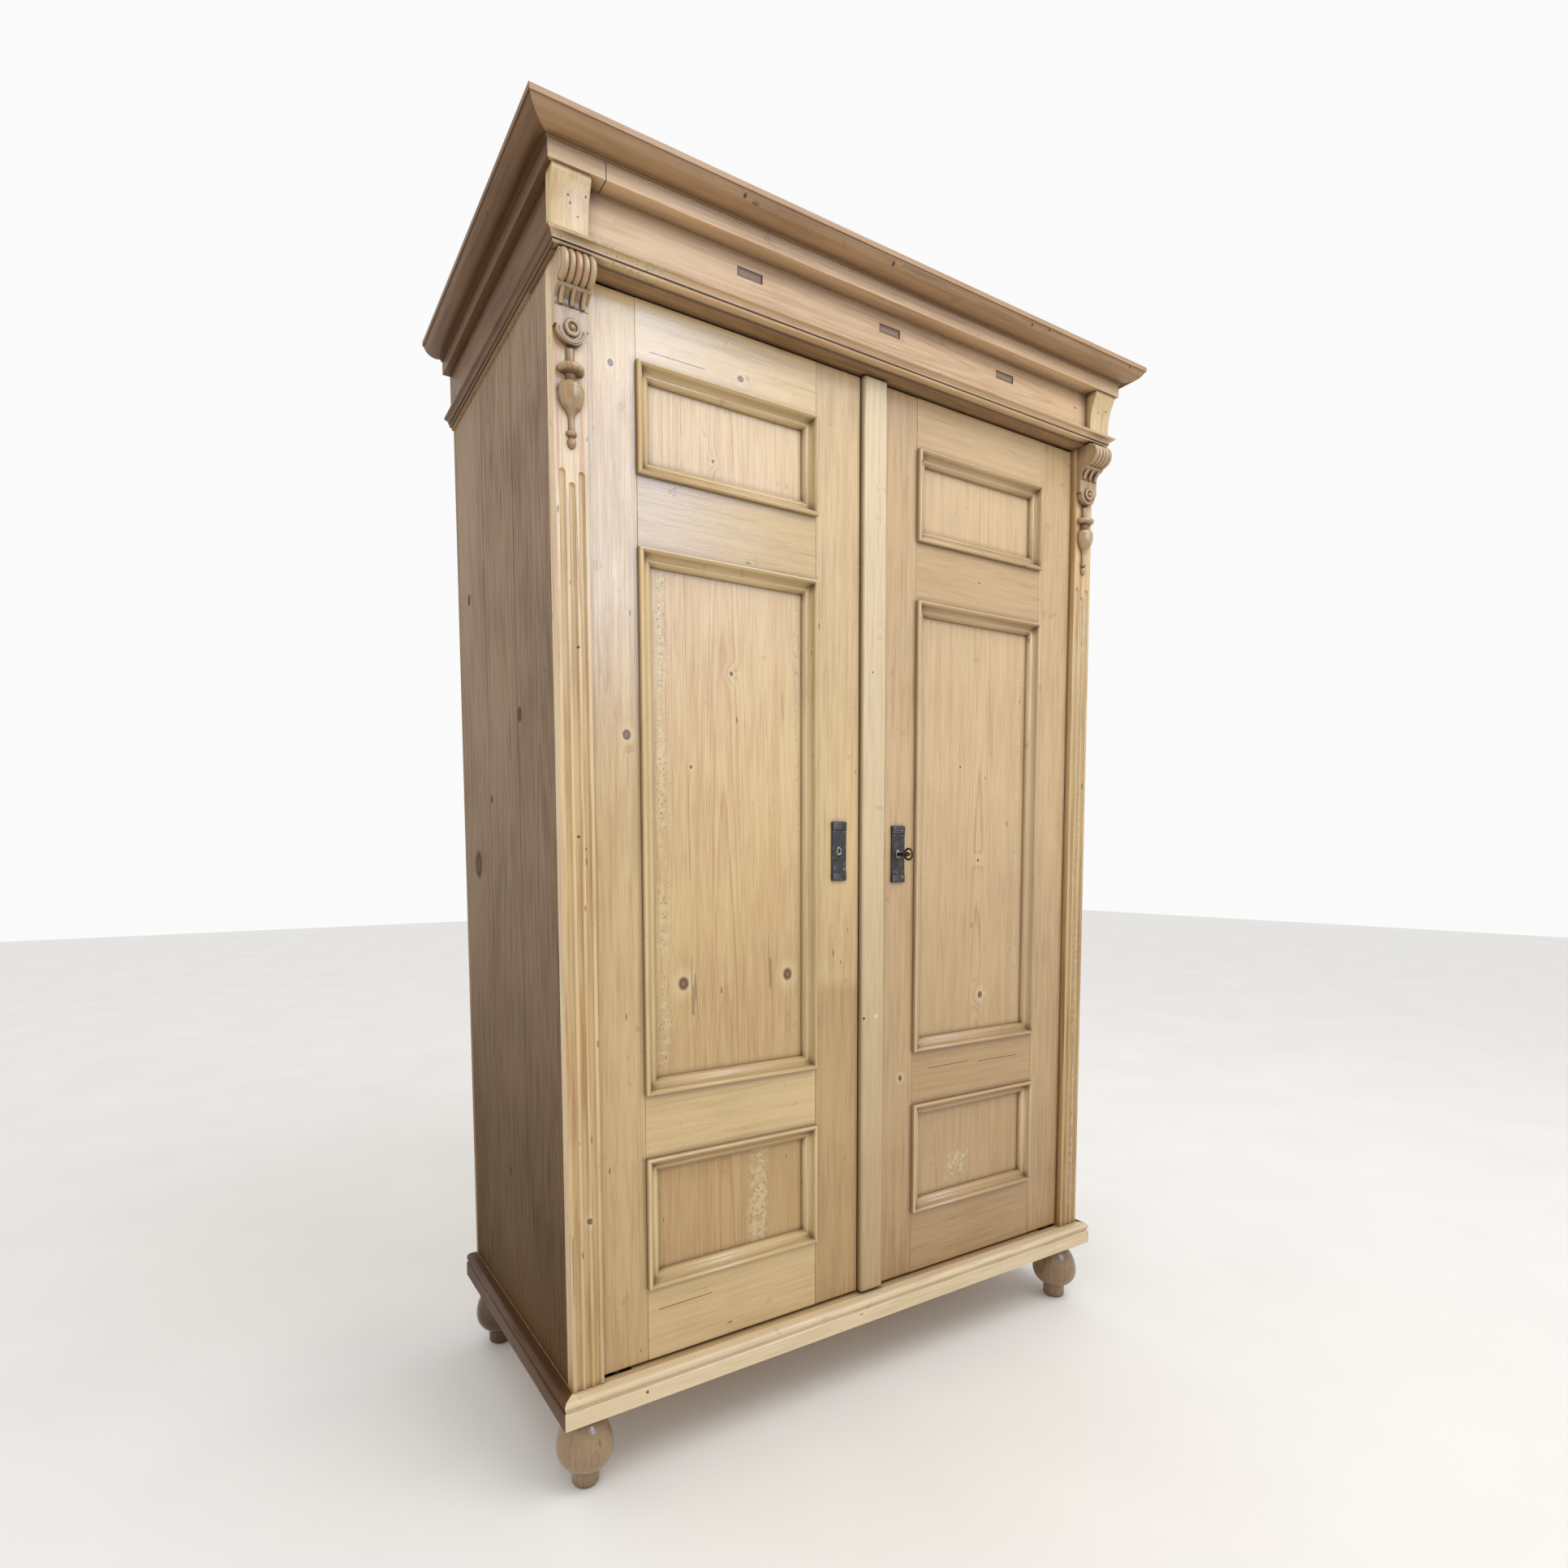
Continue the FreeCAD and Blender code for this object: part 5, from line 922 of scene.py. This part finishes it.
class WARDROBE_OT_key_plates(bpy.types.Operator):
    """Reed the raised ends of the key plates, and set their pins and keyhole rims"""

    bl_idname = "wardrobe.key_plates"
    bl_label = "Key plates"

    def execute(self, context):
        size = context.scene.wardrobe_sizes.pin / MM
        iron = forged("forged_iron_reeding", "iron", "bright", 0.4, 1.7)
        rubbed = forged("rubbed_iron_rim", "worn", "bright", 0.3)
        for side in ("left", "right"):
            low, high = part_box(f"{side}_escutcheon")
            x, z = (low.x + high.x) / 2 / MM, (low.z + high.z) / 2 / MM
            reeds = [self.reed(low, high, z + end * 44.5 + step)
                     for end in (-1, 1) for step in (-4.2, -1.4, 1.4, 4.2)]
            hole = (x * MM, (PLATE_FACE - 0.1) * MM, z * MM)
            rim = ring(4.2, 1.6, 40, 10, hole)
            edit(rim)
            bpy.ops.transform.resize(value=(1, 0.6, 1.35), center_override=hole)
            leave_edit(60)
            pin = turned([(size, -0.5), (size, 0.3), (size * 0.7, 0.9), (0.1, 1.1)], 16)
            pins = copies(pin, [facing(x + across, PLATE_FACE, z + up)
                                for across, up in PLATE_PINS])
            settle(joined([*reeds, pins]), f"{side}_key_plate_relief", iron, f"{side}_door")
            settle(rim, f"{side}_keyhole_rim", rubbed, f"{side}_door")
        return {"FINISHED"}

    def reed(self, low, high, height):
        """A slim half-round bar across the plate, with tapered ends."""
        bar = start("cylinder", vertices=12, radius=1.2 * MM, depth=(high.x - low.x) - 5 * MM,
                    location=((low.x + high.x) / 2, low.y + 0.1 * MM, height * MM),
                    rotation=(0, math.pi / 2, 0))
        bpy.ops.object.transform_apply(location=False, rotation=True, scale=False)
        edit(bar)
        for side in (-1, 1):
            pick(bar, lambda face: face.normal.x * side > 0.9)
            extrude((side * 1.4 * MM, 0, 0), (1, 0.45, 0.45))
        leave_edit()
        return bar


class WARDROBE_OT_key(bpy.types.Operator):
    """Forge the key: ring bow, stepped collar, round shank and warded bit"""

    bl_idname = "wardrobe.key"
    bl_label = "Key"

    def execute(self, context):
        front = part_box("key")[0].y
        x, z = KEYHOLE
        bow = ring(9.8, 2.0, 48, 14, (x * MM, front + 11.9 * MM, z * MM), (0, math.pi / 2, 0))
        edit(bow)
        bpy.ops.transform.resize(value=(1.15, 1, 1), center_override=(x * MM, 0, 0))
        leave_edit(60)
        shank = turned(KEY_SHANK, 32)
        shank.matrix_world = facing(x, front / MM + 82.4, z)
        bit = start("cube", size=1, location=(x * MM, KEY_BIT * MM, z * MM))
        bit.scale = (2.2 * MM, 5.2 * MM, 8.3 * MM)
        bpy.ops.object.transform_apply(location=False, rotation=False, scale=True)
        edit(bit)
        bpy.ops.transform.translate(value=(0, 0, 4.15 * MM))
        saw(bit, 0.7 * MM, 3 * MM)
        leave_edit()
        bit.rotation_euler = (0, math.radians(45), 0)
        piece = settle(joined([bow, shank, bit]), "forged_key",
                       forged("forged_key_steel", "steel", "worn", 0.38), "key")
        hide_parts("key")
        return {"FINISHED"}


class WARDROBE_OT_screws(bpy.types.Operator):
    """Set the slotted screws of the pivot plates, bolts, keeper and lock"""

    bl_idname = "wardrobe.screws"
    bl_label = "Screws"

    def execute(self, context):
        radius = context.scene.wardrobe_sizes.screw * 0.8
        iron = forged("screw_iron", "iron", "worn", 0.42)
        for body, y, screws in (("left_door", GUIDE_BACK, GUIDE_SCREWS),
                                ("right_door", LOCK_BACK, LOCK_SCREWS)):
            piece = copies(screw_head(radius), [facing(x, y, z, True, roll)
                                                for x, z, roll in screws])
            settle(piece, f"{body}_screws", iron, body)
        return {"FINISHED"}


class WARDROBE_OT_nails(bpy.types.Operator):
    """Drive the nails that hold the crown, and plug the cover strip"""

    bl_idname = "wardrobe.nails"
    bl_label = "Nails and plugs"

    def execute(self, context):
        size = context.scene.wardrobe_sizes.nail / MM
        nail = turned([(size, -0.4), (size, 0.1), (size * 0.7, 0.25), (0.1, 0.3)], 14)
        piece = copies(nail, [facing(x, y + 0.9, z) for x, y, z in CROWN_NAILS])
        settle(piece, "crown_nails", forged("nail_iron", "iron", "worn", 0.6), "carcase")
        plug = turned([(5.2, -0.5), (5.2, 0.12), (5.0, 0.3), (0.1, 0.32)], 28)
        piece = copies(plug, [facing(x, STRIP_FACE, z) for x, z in STRIP_PLUGS])
        settle(piece, "strip_plugs", pine("pale_pine_plug", LOOKS["strip"], "zyx",
                                          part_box("cover_strip"), 1, 1.2, 9.4),
               "right_door")
        return {"FINISHED"}


class WARDROBE_OT_stage(bpy.types.Operator):
    """Lay the floor, hang the soft lights and set up the camera of the photograph"""

    bl_idname = "wardrobe.stage"
    bl_label = "Studio"

    def execute(self, context):
        scene = context.scene
        floor = start("plane", size=24)
        floor.name = "studio_floor"
        material, tree = new_material("pale_floor")
        place = add(tree, "TexCoord").node.outputs["Object"]
        cloud = add(tree, "TexNoise", named={"Vector": place, "Scale": 3.0, "Detail": 4.0})
        pale = scene.wardrobe_colours.floor
        base = add(tree, "ValToRGB", cloud, stops=[(0.3, tuple(c * 0.96 for c in pale)),
                                                   (0.7, tuple(pale))])
        finish_material(tree, base, 0.7, cloud, 0.5 * MM, 0.1)
        dress(floor, material)

        for name, spot, aim, size, power, tint in LAMPS:
            lamp = bpy.data.lights.new(name, "AREA")
            lamp.shape = "RECTANGLE"
            lamp.size, lamp.size_y = size
            lamp.energy = power
            lamp.color = linear(tint)
            holder = bpy.data.objects.new(name, lamp)
            scene.collection.objects.link(holder)
            holder.location = spot
            holder.rotation_euler = (Vector(aim) - Vector(spot)).to_track_quat("-Z", "Y").to_euler()
            # The window is seen in the wax but lights nothing, like a white card beside the lens.
            holder.visible_diffuse = name != "window_sheen"

        world = bpy.data.worlds.new("studio")
        world.use_nodes = True
        background = world.node_tree.nodes["Background"].inputs
        background["Color"].default_value = (1.0, 1.0, 1.0, 1)
        background["Strength"].default_value = 0.96
        scene.world = world
        scene.view_settings.view_transform = "Standard"

        view = bpy.data.cameras.new("photograph")
        view.sensor_width = 36
        view.lens = LENS
        view.shift_x, view.shift_y = LENS_SHIFT
        camera = bpy.data.objects.new("photograph", view)
        scene.collection.objects.link(camera)
        camera.matrix_world = Matrix([(*row, place) for row, place in
                                      zip(zip(*CAMERA_AXES), CAMERA_PLACE)] + [(0, 0, 0, 1)])
        scene.camera = camera
        return {"FINISHED"}


class WARDROBE_PT_panel(bpy.types.Panel):
    """Pieces, colours and sizes of the wardrobe"""

    bl_idname = "WARDROBE_PT_panel"
    bl_label = "Wardrobe"
    bl_space_type = "VIEW_3D"
    bl_region_type = "UI"
    bl_category = "Wardrobe"

    def draw(self, context):
        for step in STEPS:
            self.layout.operator(step.bl_idname)
        for group in (context.scene.wardrobe_colours, context.scene.wardrobe_sizes):
            box = self.layout.box()
            for name in group.bl_rna.properties.keys():
                if name not in ("rna_type", "name"):
                    box.prop(group, name)


STEPS = (WARDROBE_OT_boards, WARDROBE_OT_mouldings, WARDROBE_OT_carving, WARDROBE_OT_ironwork,
         WARDROBE_OT_key_plates, WARDROBE_OT_key, WARDROBE_OT_screws, WARDROBE_OT_nails,
         WARDROBE_OT_stage)
CLASSES = (WardrobeColours, WardrobeSizes, *STEPS, WARDROBE_PT_panel)


def register():
    for kind in CLASSES:
        bpy.utils.register_class(kind)
    bpy.types.Scene.wardrobe_colours = bpy.props.PointerProperty(type=WardrobeColours)
    bpy.types.Scene.wardrobe_sizes = bpy.props.PointerProperty(type=WardrobeSizes)


def unregister():
    del bpy.types.Scene.wardrobe_sizes
    del bpy.types.Scene.wardrobe_colours
    for kind in reversed(CLASSES):
        bpy.utils.unregister_class(kind)


def main():
    """Makes every piece in order."""
    register()
    for step in STEPS:
        group, name = step.bl_idname.split(".")
        getattr(getattr(bpy.ops, group), name)()


if __name__ == "__main__":
    main()
